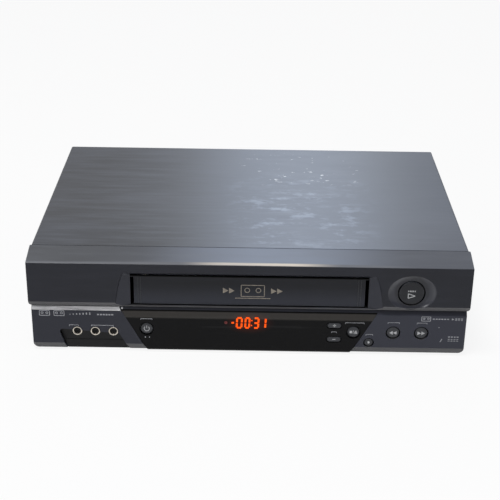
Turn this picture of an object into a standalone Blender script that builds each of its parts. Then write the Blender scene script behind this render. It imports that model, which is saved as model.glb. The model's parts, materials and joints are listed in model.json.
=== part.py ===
"""A VHS video cassette recorder, built as an assembly of its real pieces.

The recorder stands on its feet with its front towards -Y and its top towards +Z. The origin is in
the middle of the space that it fills, on the surface that it stands on. Lengths are in metres.
Places along the depth are given as distances behind the upright front face, and heights as distances
above the lower edge of the front panel. The last step lifts every piece by the height of that edge.
"""

import math

import bmesh
import bpy
from mathutils import Matrix, Vector

# Driving dimensions
WIDTH = 0.400
DEPTH = 0.290
HEIGHT = 0.0965
STAND_HEIGHT = 0.0025
TERMINAL_REACH = 0.007
FOOT_HEIGHT = 0.0024
CASSETTE_WIDTH = 0.188
CASSETTE_THICKNESS = 0.025
DECK_UNDERSIDE = 0.024
LOADING_STROKE = 0.054
LOWERING_STROKE = 0.020
BUTTON_TRAVEL = 0.0008

# Shared clearances and mesh fineness
SEAT_GAP = 0.0003
RUNNING_GAP = 0.0004
OVERRUN = 0.002
WELD_DISTANCE = 0.000001
ROUND_SIDES = 24
SHARP_DEGREES = 32

HALF_WIDTH = WIDTH / 2
COVER_TOP = HEIGHT - STAND_HEIGHT
FRONT_Y = -DEPTH / 2
BODY_DEPTH = DEPTH - TERMINAL_REACH


def behind(distance):
    """The y of a place this far behind the front face."""
    return FRONT_Y + distance


# Making objects


def clear_scene():
    """Remove whatever objects the scene holds."""
    for item in list(bpy.data.objects):
        bpy.data.objects.remove(item, do_unlink=True)


def paint(thing, colour, roughness, metallic=0.0):
    """Give an object its own material."""
    look = bpy.data.materials.new(thing.name + "_finish")
    look.use_nodes = True
    shader = look.node_tree.nodes["Principled BSDF"]
    shader.inputs["Base Color"].default_value = (*colour, 1.0)
    shader.inputs["Roughness"].default_value = roughness
    shader.inputs["Metallic"].default_value = metallic
    thing.data.materials.clear()
    thing.data.materials.append(look)


def make_object(name, bm):
    """Turn a bmesh into an object of the scene."""
    bmesh.ops.recalc_face_normals(bm, faces=bm.faces)
    mesh = bpy.data.meshes.new(name)
    bm.to_mesh(mesh)
    bm.free()
    thing = bpy.data.objects.new(name, mesh)
    bpy.context.collection.objects.link(thing)
    return thing


def prism(name, outline, axis, low, high):
    """Extrude an outline along an axis: (y, z) points for X, (x, z) for Y and (x, y) for Z."""
    places = {
        "X": lambda a, b: (low, a, b),
        "Y": lambda a, b: (a, low, b),
        "Z": lambda a, b: (a, b, low),
    }
    ways = {"X": Vector((1, 0, 0)), "Y": Vector((0, 1, 0)), "Z": Vector((0, 0, 1))}
    bm = bmesh.new()
    face = bm.faces.new([bm.verts.new(places[axis](a, b)) for a, b in outline])
    grown = bmesh.ops.extrude_face_region(bm, geom=[face])
    tops = [item for item in grown["geom"] if isinstance(item, bmesh.types.BMVert)]
    bmesh.ops.translate(bm, verts=tops, vec=ways[axis] * (high - low))
    return make_object(name, bm)


def box(name, x_span, y_span, z_span):
    """A block between three pairs of limits."""
    outline = rectangle(x_span, y_span)
    return prism(name, outline, "Z", *z_span)


def rectangle(across, up):
    """The four corners of a rectangle."""
    return [(across[0], up[0]), (across[1], up[0]), (across[1], up[1]), (across[0], up[1])]


def about(centre, half):
    """The pair of limits that lie evenly about a centre."""
    return (centre - half, centre + half)


def circle(centre, radius, sides=ROUND_SIDES):
    """The corners of a circle."""
    turns = [math.tau * step / sides for step in range(sides)]
    return [(centre[0] + radius * math.cos(t), centre[1] + radius * math.sin(t)) for t in turns]


def capsule(centre, half_length, radius, sides=ROUND_SIDES):
    """A lying oval with round ends."""
    reach = half_length - radius
    turns = [math.tau * step / sides - math.pi / 2 for step in range(sides // 2 + 1)]
    right = [(centre[0] + reach + radius * math.cos(t), centre[1] + radius * math.sin(t)) for t in turns]
    left = [(centre[0] - reach - radius * math.cos(t), centre[1] - radius * math.sin(t)) for t in turns]
    return right + left


def turned(name, profile, centre, axis="Z", sides=ROUND_SIDES, ring=False):
    """Turn (radius, distance along the axis) points round an axis through a centre."""
    bm = bmesh.new()
    verts = [bm.verts.new((radius, 0, along)) for radius, along in profile]
    edges = [bm.edges.new(pair) for pair in zip(verts, verts[1:])]
    if ring:
        edges.append(bm.edges.new((verts[-1], verts[0])))
    bmesh.ops.spin(bm, geom=verts + edges, axis=(0, 0, 1), cent=(0, 0, 0), angle=math.tau, steps=sides,
                   use_merge=True)
    bmesh.ops.remove_doubles(bm, verts=bm.verts, dist=WELD_DISTANCE)
    turns = {
        "X": Matrix.Rotation(math.pi / 2, 4, "Y"),
        "Y": Matrix.Rotation(-math.pi / 2, 4, "X"),
        "Z": Matrix.Identity(4),
    }
    bmesh.ops.transform(bm, matrix=Matrix.Translation(centre) @ turns[axis], verts=bm.verts)
    return make_object(name, bm)


def rod(name, radius, low, high, centre, axis="Z", sides=ROUND_SIDES):
    """A round rod from low to high along its axis, measured from the centre."""
    return turned(name, [(0, low), (radius, low), (radius, high), (0, high)], centre, axis, sides)


def combine(target, tools, operation):
    """Cut tools from an object, or join them on, and remove the tools."""
    for tool in tools:
        step = target.modifiers.new("combine", "BOOLEAN")
        step.operation = operation
        step.solver = "EXACT"
        step.object = tool
        graph = bpy.context.evaluated_depsgraph_get()
        result = bpy.data.meshes.new_from_object(target.evaluated_get(graph))
        target.modifiers.clear()
        target.data = result
        bpy.data.objects.remove(tool)
    return target


def cut(target, *tools):
    """Cut the tools out of an object."""
    return combine(target, tools, "DIFFERENCE")


def join(target, *tools):
    """Join the tools to an object as one solid."""
    return combine(target, tools, "UNION")


def set_origin(thing, place):
    """Move an object's origin to a place, and leave its shape where it is."""
    place = Vector(place)
    thing.data.transform(Matrix.Translation(-place))
    thing.location = place


def smooth(thing):
    """Shade the round sides of an object smooth and keep its corners sharp."""
    thing.data.shade_smooth()
    thing.data.set_sharp_from_angle(angle=math.radians(SHARP_DEGREES))


def finished(thing, colour, roughness, metallic=0.0, origin=None):
    """Set an object's material, shading and origin."""
    paint(thing, colour, roughness, metallic)
    smooth(thing)
    if origin is not None:
        set_origin(thing, origin)
    return thing


# Colours
PANEL_GREY = (0.034, 0.042, 0.050)
COVER_GREY = (0.150, 0.165, 0.195)
GLOSS_BLACK = (0.008, 0.008, 0.009)
SILVER = (0.55, 0.55, 0.54)
STEEL = (0.50, 0.50, 0.48)
BOARD_GREEN = (0.05, 0.17, 0.07)
DARK_RUBBER = (0.02, 0.02, 0.02)
IVORY_PLASTIC = (0.62, 0.60, 0.52)
BUTTON_GREY = (0.11, 0.13, 0.15)

# Casing
SHEET = 0.0008
COVER_STEP = 0.0012
COVER_CORNER = 0.002
BEZEL_DROP = 0.0004
UNDERSIDE = 0.0
PANEL_DEPTH = 0.025
PANEL_WALL = 0.0024
BOTTOM_CHAMFER_RISE = 0.0064
BOTTOM_CHAMFER_RUN = 0.0030
LOWER_INSET = 0.002
LOWER_TOP = 0.0395
CHAMFER_RISE = 0.0038
CHAMFER_RUN = 0.0025
GROOVE_HEIGHT = 0.0012
GROOVE_DEPTH = 0.006
LIP_RISE = 0.005
LIP_RUN = 0.003
FACE_DROP = 0.0064
BROW = 0.0006

COVER_HALF_WIDTH = HALF_WIDTH - COVER_STEP
BEZEL_TOP = COVER_TOP - BEZEL_DROP
FACE_TOP = BEZEL_TOP - FACE_DROP
GROOVE_FOOT = LOWER_TOP + CHAMFER_RISE
GROOVE_TOP = GROOVE_FOOT + GROOVE_HEIGHT
UPPER_FOOT = GROOVE_TOP + LIP_RISE
LOWER_FLOOR = UNDERSIDE + PANEL_WALL
COVER_FRONT = PANEL_DEPTH + SEAT_GAP
LOWER_HALF_WIDTH = HALF_WIDTH - LOWER_INSET

# Cassette slot in the front panel
SLOT_HALF_WIDTH = 0.1077
SLOT_FOOT = 0.0448
SLOT_TOP = 0.0761
SLOT_FRAME_DEPTH = 0.0084
SLOT_FRAME_MARGIN = 0.019
FACET_TOP_SPREAD = 0.006
FACET_FOOT_SPREAD = 0.0150
FACET_RISE = 0.005
FACET_DEPTH = 0.004

# Cassette flap and its pivots
FLAP_SIDE_GAP = 0.0032
FLAP_GAP = 0.0016
FLAP_RECESS = 0.0046
FLAP_THICKNESS = 0.0020
FLAP_PIN_RADIUS = 0.001
FLAP_PIN_REACH = 0.0022
FLAP_HALF_WIDTH = SLOT_HALF_WIDTH - FLAP_SIDE_GAP
FLAP_FOOT = SLOT_FOOT + FLAP_GAP
FLAP_TOP = SLOT_TOP - FLAP_GAP
FLAP_AXIS_BEHIND = FLAP_RECESS + FLAP_THICKNESS / 2
FLAP_AXIS_Z = FLAP_TOP - FLAP_THICKNESS / 2

# Display window in the lower panel
WINDOW_TOP = 0.0408
WINDOW_FOOT = UNDERSIDE
WINDOW_TOP_HALF = 0.1170
WINDOW_FOOT_HALF = 0.0931
WINDOW_THICKNESS = 0.0022
WINDOW_BAND_FOOT = 0.0335
WINDOW_BAND_SLOPE = 0.0012
WINDOW_FOOT_CHAMFER = 0.0015

# Front sockets and their scoop
SOCKET_Z = 0.0180
SOCKET_PITCH = 0.0165
SOCKET_RADIUS = 0.0044
SOCKET_BORE = 0.0032
SOCKET_WALL_GAP = 0.0004
SOCKET_PROUD = 0.0006
SCOOP_LOW = 0.0045
SCOOP_TOP = 0.0200
SCOOP_END_TOP = 0.0161
SCOOP_DEPTH = 0.0060
SCOOP_LEFT_TOP_SHARE = 0.745
SCOOP_LEFT_LOW_SHARE = 0.724
SCOOP_RIGHT_LOW_SHARE = 0.148
SCOOP_RIGHT_TOP_SHARE = 0.174
SOCKET_MIDDLE_SHARE = 0.403

# Buttons: places on the front, and sizes
POWER_INSET = 0.0121
POWER_Z = 0.0214
EJECT_INSET = 0.0097
EJECT_Z = 0.0209
CHANNEL_PITCH = 0.0176
CHANNEL_UP_Z = 0.0275
CHANNEL_DOWN_Z = 0.0133
RECORD_OUTSET = 0.0110
RECORD_Z = 0.0103
WIND_Z = 0.0209
REWIND_SHARE = 0.295
FORWARD_SHARE = 0.581
PLAY_SIDE_GAP = 0.0385
PLAY_Z = 0.0618
POWER_RADIUS = 0.0056
RECORD_RADIUS = 0.0039
WIND_RADIUS = 0.0058
PLAY_RADIUS = 0.0114
CHANNEL_HALF_LENGTH = 0.0062
CHANNEL_RADIUS = 0.0024
BUTTON_HOLE_GAP = 0.0008
BUTTON_FLANGE_REACH = 0.0013
BUTTON_FLANGE = 0.0011
BUTTON_STEM_RADIUS = 0.0018
BUTTON_CROWN = 0.0006
DISH_HALF_WIDTH = 0.0220
DISH_HALF_HEIGHT = 0.0170
DISH_DEPTH = 0.0018
DISH_BACKING = 0.0048
DISH_STEPS = 5


def window_half(z):
    """Half the width of the display window at a height."""
    share = (z - WINDOW_FOOT) / (WINDOW_TOP - WINDOW_FOOT)
    return WINDOW_FOOT_HALF + (WINDOW_TOP_HALF - WINDOW_FOOT_HALF) * share


def beside_window(share, z):
    """The x of a place this share of the way from the window's slanting edge to the panel's side wall."""
    edge = window_half(z)
    return edge + (LOWER_HALF_WIDTH - PANEL_WALL - edge) * share


PLAY_AT = (SLOT_HALF_WIDTH + PLAY_SIDE_GAP, PLAY_Z)
EJECT_X = window_half(EJECT_Z) - EJECT_INSET
ROUND_BUTTONS = (
    ("power_button", (POWER_INSET - window_half(POWER_Z), POWER_Z), POWER_RADIUS),
    ("stop_eject_button", (EJECT_X, EJECT_Z), POWER_RADIUS),
    ("record_button", (window_half(RECORD_Z) + RECORD_OUTSET, RECORD_Z), RECORD_RADIUS),
    ("rewind_button", (beside_window(REWIND_SHARE, WIND_Z), WIND_Z), WIND_RADIUS),
    ("forward_button", (beside_window(FORWARD_SHARE, WIND_Z), WIND_Z), WIND_RADIUS),
)
OVAL_BUTTONS = (
    ("channel_up_button", (EJECT_X - CHANNEL_PITCH, CHANNEL_UP_Z)),
    ("channel_down_button", (EJECT_X - CHANNEL_PITCH, CHANNEL_DOWN_Z)),
)

# Front circuit board and its switches
BOARD = 0.0016
FRONT_BOARD_BEHIND = 0.0160
FRONT_BOARD_LEFT_INSET = 0.016
FRONT_BOARD_RIGHT_INSET = 0.010
FRONT_BOARD_LEFT = FRONT_BOARD_LEFT_INSET - LOWER_HALF_WIDTH
FRONT_BOARD_RIGHT = LOWER_HALF_WIDTH - FRONT_BOARD_RIGHT_INSET
FRONT_BOARD_TOP = 0.0385
PLAY_WING_REACH = 0.0182
PLAY_WING_LEFT = PLAY_AT[0] - PLAY_WING_REACH
PLAY_WING_TOP = 0.074
SWITCH_HALF = 0.003
SWITCH_HEIGHT = 0.0045


def panel_outline():
    """The outer side view of the front panel, as (y, z) points from its bottom back corner."""
    lower = behind(LOWER_INSET)
    return [
        (behind(PANEL_DEPTH), UNDERSIDE),
        (lower + BOTTOM_CHAMFER_RUN, UNDERSIDE),
        (lower, UNDERSIDE + BOTTOM_CHAMFER_RISE),
        (lower, LOWER_TOP),
        (lower + CHAMFER_RUN, GROOVE_FOOT),
        (behind(GROOVE_DEPTH), GROOVE_FOOT),
        (behind(GROOVE_DEPTH), GROOVE_TOP),
        (behind(LIP_RUN), GROOVE_TOP),
        (behind(0), UPPER_FOOT),
        (behind(0), FACE_TOP),
        (behind(BROW), FACE_TOP + BROW),
        (behind(PANEL_DEPTH), BEZEL_TOP),
    ]


def panel_hollow():
    """The side view of the space inside the front panel, open at its back."""
    lower = behind(LOWER_INSET + PANEL_WALL)
    groove = behind(GROOVE_DEPTH + PANEL_WALL)
    back = behind(PANEL_DEPTH + OVERRUN)
    return [
        (back, LOWER_FLOOR),
        (lower, LOWER_FLOOR),
        (lower, LOWER_TOP - PANEL_WALL / 2),
        (groove, GROOVE_FOOT - PANEL_WALL / 2),
        (groove, GROOVE_TOP + PANEL_WALL / 2),
        (behind(PANEL_WALL), UPPER_FOOT + PANEL_WALL / 2),
        (behind(PANEL_WALL), FACE_TOP - PANEL_WALL),
        (behind(PANEL_DEPTH), BEZEL_TOP - PANEL_WALL),
        (back, BEZEL_TOP - PANEL_WALL),
    ]


def window_outline(gap):
    """The window's four corners seen from the front, drawn in by a gap on each side."""
    return [
        (gap - WINDOW_FOOT_HALF, WINDOW_FOOT),
        (WINDOW_FOOT_HALF - gap, WINDOW_FOOT),
        (WINDOW_TOP_HALF - gap, WINDOW_TOP - gap),
        (gap - WINDOW_TOP_HALF, WINDOW_TOP - gap),
    ]


def facet_cut():
    """The funnel that widens the cassette slot towards the front, wider at its foot."""
    foot_front = SLOT_HALF_WIDTH + FACET_FOOT_SPREAD
    top_front = SLOT_HALF_WIDTH + FACET_TOP_SPREAD
    bm = bmesh.new()
    front = [(-foot_front, SLOT_FOOT), (foot_front, SLOT_FOOT),
             (top_front, SLOT_TOP + FACET_RISE), (-top_front, SLOT_TOP + FACET_RISE)]
    back = rectangle(about(0, SLOT_HALF_WIDTH), (SLOT_FOOT, SLOT_TOP))
    rings = [[bm.verts.new((x, behind(depth), z)) for x, z in ring]
             for depth, ring in ((0, front), (FACET_DEPTH, back))]
    ahead = [bm.verts.new((x, behind(-OVERRUN), z)) for x, z in front]
    for near, far in ((ahead, rings[0]), (rings[0], rings[1])):
        for this in range(4):
            after = (this + 1) % 4
            bm.faces.new((near[this], near[after], far[after], far[this]))
    bm.faces.new(ahead)
    bm.faces.new(rings[1])
    return make_object("facet_cut", bm)


def front_panel():
    """The moulded front, with a sloping top, a slot for cassettes and a groove between its two halves."""
    panel = prism("front_panel", panel_outline(), "X", -HALF_WIDTH, HALF_WIDTH)
    inner_half = LOWER_HALF_WIDTH - PANEL_WALL
    cut(panel, prism("hollow", panel_hollow(), "X", -inner_half, inner_half))
    for side in (-1, 1):
        across = sorted((side * LOWER_HALF_WIDTH, side * (HALF_WIDTH + OVERRUN)))
        step = [(across[0], UNDERSIDE - OVERRUN), (across[1], UNDERSIDE - OVERRUN),
                (across[1], GROOVE_TOP), (across[0], GROOVE_TOP)]
        cut(panel, prism("side_step", step, "Y", behind(-OVERRUN), behind(PANEL_DEPTH + OVERRUN)))

    frame_half = SLOT_HALF_WIDTH + SLOT_FRAME_MARGIN
    frame_x = about(0, frame_half)
    frame_y = (behind(PANEL_WALL / 2), behind(SLOT_FRAME_DEPTH))
    join(panel, box("slot_frame", frame_x, frame_y, (UPPER_FOOT - LIP_RISE, SLOT_TOP + FACET_RISE + PANEL_WALL)))
    dish_at = (PLAY_AT[0], behind(0), PLAY_AT[1])
    backing = circle(PLAY_AT, PLAY_RADIUS + DISH_BACKING)
    join(panel, prism("dish_backing", backing, "Y", behind(PANEL_WALL / 2), behind(DISH_BACKING)))

    slot_y = (behind(-OVERRUN), behind(SLOT_FRAME_DEPTH + OVERRUN))
    cut(panel, facet_cut(), box("slot", about(0, SLOT_HALF_WIDTH), slot_y, (SLOT_FOOT, SLOT_TOP)))
    pin_half = FLAP_HALF_WIDTH + FLAP_SIDE_GAP + FLAP_PIN_REACH + RUNNING_GAP
    pin_at = (0, behind(FLAP_AXIS_BEHIND), FLAP_AXIS_Z)
    cut(panel, rod("pivot_holes", FLAP_PIN_RADIUS + SEAT_GAP, -pin_half, pin_half, pin_at, "X"))

    through = (behind(-OVERRUN), behind(LOWER_INSET + PANEL_WALL + OVERRUN))
    window = window_outline(0)
    window[0] = (window[0][0], UNDERSIDE - OVERRUN)
    window[1] = (window[1][0], UNDERSIDE - OVERRUN)
    cut(panel, prism("window_hole", window, "Y", *through))
    cut(panel, prism("scoop", scoop_outline(), "Y", *through))
    for x in socket_places():
        hole = circle((x, SOCKET_Z), SOCKET_RADIUS + SOCKET_WALL_GAP)
        cut(panel, prism("socket_hole", hole, "Y", *through))

    dish = turned("dish", dish_profile(), (0, 0, 0), "Y", ROUND_SIDES)
    dish.data.transform(Matrix.Diagonal((DISH_HALF_WIDTH, 1, DISH_HALF_HEIGHT, 1)))
    dish.data.transform(Matrix.Translation(dish_at))
    cut(panel, dish)
    deep = (behind(-OVERRUN), behind(DISH_BACKING + OVERRUN))
    holes = [(at, radius) for _, at, radius in ROUND_BUTTONS] + [(PLAY_AT, PLAY_RADIUS)]
    for at, radius in holes:
        if not in_window(at):
            cut(panel, prism("button_hole", circle(at, radius + BUTTON_HOLE_GAP), "Y", *deep))
    cut(panel, trim_band("trim_recess", SEAT_GAP * 2))
    return finished(panel, PANEL_GREY, 0.42)


def dish_profile():
    """Half the round section of the shallow dish, on a unit radius, from its lowest point outwards."""
    points = [(0, DISH_DEPTH)]
    for step in range(1, DISH_STEPS + 1):
        share = step / DISH_STEPS
        points.append((share, DISH_DEPTH * (1 - share ** 3)))
    return points + [(1, -OVERRUN), (0, -OVERRUN)]


def in_window(at):
    """Whether a place on the front lies inside the display window."""
    return abs(at[0]) < window_half(at[1]) and at[1] < WINDOW_TOP


def socket_places():
    """The x of the three front sockets, from left to right."""
    middle = -beside_window(SOCKET_MIDDLE_SHARE, SOCKET_Z)
    return [middle + SOCKET_PITCH * step for step in (-1, 0, 1)]


def scoop_outline():
    """The four corners of the scoop round the sockets, from its upper left one."""
    corners = ((SCOOP_LEFT_TOP_SHARE, SCOOP_TOP), (SCOOP_LEFT_LOW_SHARE, SCOOP_LOW),
               (SCOOP_RIGHT_LOW_SHARE, SCOOP_LOW), (SCOOP_RIGHT_TOP_SHARE, SCOOP_END_TOP))
    return [(-beside_window(share, z), z) for share, z in corners]


# Bright trim on the lower left chamfer
TRIM_THICKNESS = 0.0006
TRIM_LEFT_INSET = 0.0006
TRIM_WINDOW_GAP = 0.0002
TRIM_LEFT = TRIM_LEFT_INSET - LOWER_HALF_WIDTH
TRIM_RIGHT = -WINDOW_TOP_HALF - TRIM_WINDOW_GAP
TRIM_END_MARGIN = 0.0003


def trim_band(name, extra):
    """A strip that lies on the chamfer under the groove, sunk flush with it."""
    low = (behind(LOWER_INSET), LOWER_TOP)
    high = (behind(LOWER_INSET) + CHAMFER_RUN, GROOVE_FOOT)
    length = math.hypot(CHAMFER_RUN, CHAMFER_RISE)
    inward = Vector((CHAMFER_RISE, -CHAMFER_RUN)) / length
    along = Vector((CHAMFER_RUN, CHAMFER_RISE)) / length
    start = Vector(low) + along * (TRIM_END_MARGIN - extra / 2)
    end = Vector(high) - along * (TRIM_END_MARGIN - extra / 2)
    depth = inward * (TRIM_THICKNESS + extra)
    outer = -inward * extra
    outline = [start + outer, end + outer, end + depth, start + depth]
    return prism(name, [tuple(point) for point in outline], "X", TRIM_LEFT - extra / 2, TRIM_RIGHT + extra / 2)


def trim_strip():
    """The bright strip along the lower left panel."""
    return finished(trim_band("trim_strip", 0), SILVER, 0.25, 1.0)


def display_window():
    """The dark gloss window with a sloped band along its top and holes for four buttons."""
    front = behind(LOWER_INSET)
    window = prism("display_window", window_outline(SEAT_GAP), "Y", front, front + WINDOW_THICKNESS)
    slope = [(front - OVERRUN, WINDOW_BAND_FOOT), (front, WINDOW_BAND_FOOT),
             (front + WINDOW_BAND_SLOPE, WINDOW_TOP + OVERRUN), (front - OVERRUN, WINDOW_TOP + OVERRUN)]
    cut(window, prism("band", slope, "X", -HALF_WIDTH, HALF_WIDTH))
    foot = [(front - OVERRUN, UNDERSIDE - OVERRUN), (front + WINDOW_THICKNESS / 2, UNDERSIDE - OVERRUN),
            (front, UNDERSIDE + WINDOW_FOOT_CHAMFER), (front - OVERRUN, UNDERSIDE + WINDOW_FOOT_CHAMFER)]
    cut(window, prism("foot_chamfer", foot, "X", -HALF_WIDTH, HALF_WIDTH))
    through = (front - OVERRUN, front + WINDOW_THICKNESS + OVERRUN)
    for _, at, radius in ROUND_BUTTONS:
        if in_window(at):
            cut(window, prism("hole", circle(at, radius + BUTTON_HOLE_GAP), "Y", *through))
    for _, at in OVAL_BUTTONS:
        oval = capsule(at, CHANNEL_HALF_LENGTH + BUTTON_HOLE_GAP, CHANNEL_RADIUS + BUTTON_HOLE_GAP)
        cut(window, prism("hole", oval, "Y", *through))
    return finished(window, GLOSS_BLACK, 0.08)


# Front sockets
SOCKET_BLOCK_MARGIN = 0.0030
SOCKET_BLOCK_TOP = 0.0240
SOCKET_FLANGE = 0.0012


def front_socket_block():
    """The moulded block behind the scoop that carries the three sockets."""
    left = min(x for x, z in scoop_outline()) - SOCKET_BLOCK_MARGIN
    right = max(x for x, z in scoop_outline()) + SOCKET_BLOCK_MARGIN
    y_span = (behind(SCOOP_DEPTH), behind(FRONT_BOARD_BEHIND - SEAT_GAP))
    block = box("front_socket_block", (left, right), y_span, (LOWER_FLOOR + SEAT_GAP, SOCKET_BLOCK_TOP))
    lower = behind(LOWER_INSET + PANEL_WALL + SEAT_GAP)
    corner = [(behind(SCOOP_DEPTH) - OVERRUN, LOWER_FLOOR), (lower + PANEL_WALL, LOWER_FLOOR),
              (behind(SCOOP_DEPTH) - OVERRUN, LOWER_FLOOR + PANEL_WALL)]
    cut(block, prism("corner", corner, "X", left - OVERRUN, right + OVERRUN))
    return finished(block, DARK_RUBBER, 0.55)


def front_socket(name, x):
    """One bright socket shell, a tube open at the front."""
    front = LOWER_INSET - SOCKET_PROUD
    back = SCOOP_DEPTH - SEAT_GAP
    floor = back - SOCKET_FLANGE
    profile = [(0, floor), (SOCKET_BORE, floor), (SOCKET_BORE, front), (SOCKET_RADIUS, front),
               (SOCKET_RADIUS, back), (0, back)]
    shell = turned(name, profile, (x, FRONT_Y, SOCKET_Z), "Y")
    return finished(shell, SILVER, 0.25, 1.0)


# Buttons
def button_front(at):
    """How far behind the front face a button's flat face lies."""
    return LOWER_INSET if at[1] < GROOVE_FOOT else DISH_DEPTH


def wall_back(at):
    """How far behind the front face the wall round a button ends."""
    return LOWER_INSET + PANEL_WALL if at[1] < GROOVE_FOOT else DISH_BACKING


def stem_end():
    """Where the buttons' stems end, clear of the switches when pressed."""
    return FRONT_BOARD_BEHIND - SWITCH_HEIGHT - BUTTON_TRAVEL - SEAT_GAP


def round_button(name, at, radius, rise=0.0):
    """A round push button with a retaining flange and a stem, standing out of its hole by its rise."""
    front = button_front(at) - rise
    flange = wall_back(at) + SEAT_GAP
    wide = radius + BUTTON_FLANGE_REACH
    profile = [
        (0, front), (radius - BUTTON_CROWN, front), (radius, front + BUTTON_CROWN), (radius, flange),
        (wide, flange), (wide, flange + BUTTON_FLANGE), (BUTTON_STEM_RADIUS, flange + BUTTON_FLANGE),
        (BUTTON_STEM_RADIUS, stem_end()), (0, stem_end()),
    ]
    button = turned(name, profile, (at[0], FRONT_Y, at[1]), "Y")
    return finished(button, BUTTON_GREY, 0.35, origin=(at[0], behind(front), at[1]))


def oval_button(name, at):
    """A lying oval push button with a retaining flange and a stem."""
    front = behind(button_front(at))
    flange = behind(wall_back(at) + SEAT_GAP)
    wide = capsule(at, CHANNEL_HALF_LENGTH + BUTTON_FLANGE_REACH, CHANNEL_RADIUS + BUTTON_FLANGE_REACH)
    cap = prism(name, capsule(at, CHANNEL_HALF_LENGTH, CHANNEL_RADIUS), "Y", front, flange + BUTTON_FLANGE / 2)
    stem = rod("stem", BUTTON_STEM_RADIUS, wall_back(at) + BUTTON_FLANGE, stem_end(), (at[0], FRONT_Y, at[1]), "Y")
    join(cap, prism("flange", wide, "Y", flange, flange + BUTTON_FLANGE), stem)
    return finished(cap, BUTTON_GREY, 0.35, origin=(at[0], front, at[1]))


def front_board():
    """The upright circuit board with a push switch behind each button."""
    outline = [
        (FRONT_BOARD_LEFT, LOWER_FLOOR + SEAT_GAP),
        (FRONT_BOARD_RIGHT, LOWER_FLOOR + SEAT_GAP),
        (FRONT_BOARD_RIGHT, PLAY_WING_TOP),
        (PLAY_WING_LEFT, PLAY_WING_TOP),
        (PLAY_WING_LEFT, FRONT_BOARD_TOP),
        (FRONT_BOARD_LEFT, FRONT_BOARD_TOP),
    ]
    front = behind(FRONT_BOARD_BEHIND)
    board = prism("front_board", outline, "Y", front, front + BOARD)
    places = [at for _, at, _ in ROUND_BUTTONS] + [at for _, at in OVAL_BUTTONS] + [PLAY_AT]
    for at in places:
        spans = (about(at[0], SWITCH_HALF), (front - SWITCH_HEIGHT, front + BOARD / 2), about(at[1], SWITCH_HALF))
        join(board, box("switch", *spans))
    return finished(board, BOARD_GREEN, 0.5)


DISPLAY_HALF_WIDTH = 0.032
DISPLAY_FOOT = 0.0170
DISPLAY_TOP = 0.0370
DISPLAY_FRONT = 0.0050


def display_module():
    """The glass display behind the window, standing on the front board."""
    y_span = (behind(DISPLAY_FRONT), behind(FRONT_BOARD_BEHIND - SEAT_GAP))
    module = box("display_module", about(0, DISPLAY_HALF_WIDTH), y_span, (DISPLAY_FOOT, DISPLAY_TOP))
    return finished(module, GLOSS_BLACK, 0.1)


# Cassette flap
FLAP_EDGE_THICKNESS = 0.0012
FLAP_ROUND_STEPS = 6


def cassette_flap():
    """The door in the slot: a flat leaf that hangs from two pins along its top edge."""
    front = behind(FLAP_RECESS)
    back = front + FLAP_THICKNESS
    half = FLAP_THICKNESS / 2
    axis = (behind(FLAP_AXIS_BEHIND), FLAP_AXIS_Z)
    top = [(axis[0] + half * math.cos(t), axis[1] + half * math.sin(t))
           for t in (math.pi * step / FLAP_ROUND_STEPS for step in range(FLAP_ROUND_STEPS + 1))]
    outline = top + [(front, FLAP_FOOT), (front + FLAP_EDGE_THICKNESS, FLAP_FOOT),
                     (back, FLAP_FOOT + FLAP_THICKNESS)]
    flap = prism("cassette_flap", outline, "X", -FLAP_HALF_WIDTH, FLAP_HALF_WIDTH)
    reach = SLOT_HALF_WIDTH + FLAP_PIN_REACH
    pins = rod("pins", FLAP_PIN_RADIUS - SEAT_GAP / 2, -reach, reach, (0, *axis), "X", ROUND_SIDES // 2)
    join(flap, pins)
    return finished(flap, PANEL_GREY, 0.4, origin=(0, *axis))


# Sheet-metal casing
COVER_FOOT = 0.0045
COVER_BACK_GAP = 0.0010
CHASSIS_SHEET = 0.0020
CHASSIS_WALL = 0.0015
CHASSIS_WALL_TOP = 0.0400
CHASSIS_FLOOR = FOOT_HEIGHT + SEAT_GAP + SHEET + SEAT_GAP
CHASSIS_FLOOR_TOP = CHASSIS_FLOOR + CHASSIS_SHEET
BOARD_RISE = 0.0032
BOARD_FOOT = CHASSIS_FLOOR_TOP + BOARD_RISE
BOARD_TOP = BOARD_FOOT + BOARD
BOTTOM_MARGIN = 0.006
POST_RADIUS = 0.0035
DECK_POST_X = 0.1040
DECK_POST_FRONT = 0.0440
DECK_POST_BACK = 0.2050
BOARD_POST_INSET = 0.0227
BOARD_POST_FRONT = 0.0450
BOARD_POST_BACK = 0.1900
REAR_PANEL = 0.0010
REAR_PANEL_BEHIND = BODY_DEPTH - COVER_BACK_GAP - REAR_PANEL
SCREW_Z = 0.0260
SCREW_FRONT = 0.0600
SCREW_BACK_INSET = 0.0330
SCREW_BACK = BODY_DEPTH - SCREW_BACK_INSET
SCREW_HEAD_RADIUS = 0.0035
SCREW_HEAD = 0.0008
SCREW_SHANK_RADIUS = 0.0015
SCREW_LENGTH = 0.0050
CHASSIS_HALF_WIDTH = COVER_HALF_WIDTH - SHEET - SEAT_GAP
BOARD_POST_X = CHASSIS_HALF_WIDTH - BOARD_POST_INSET


def screw_places():
    """The side, and the distance behind the front face, of each screw of the cover."""
    return [(side, depth) for side in (-1, 1) for depth in (SCREW_FRONT, SCREW_BACK)]


def deck_post_places():
    """The (x, y) of the four posts under the tape deck."""
    return [(side * DECK_POST_X, behind(depth)) for side in (-1, 1) for depth in (DECK_POST_FRONT, DECK_POST_BACK)]


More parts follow.
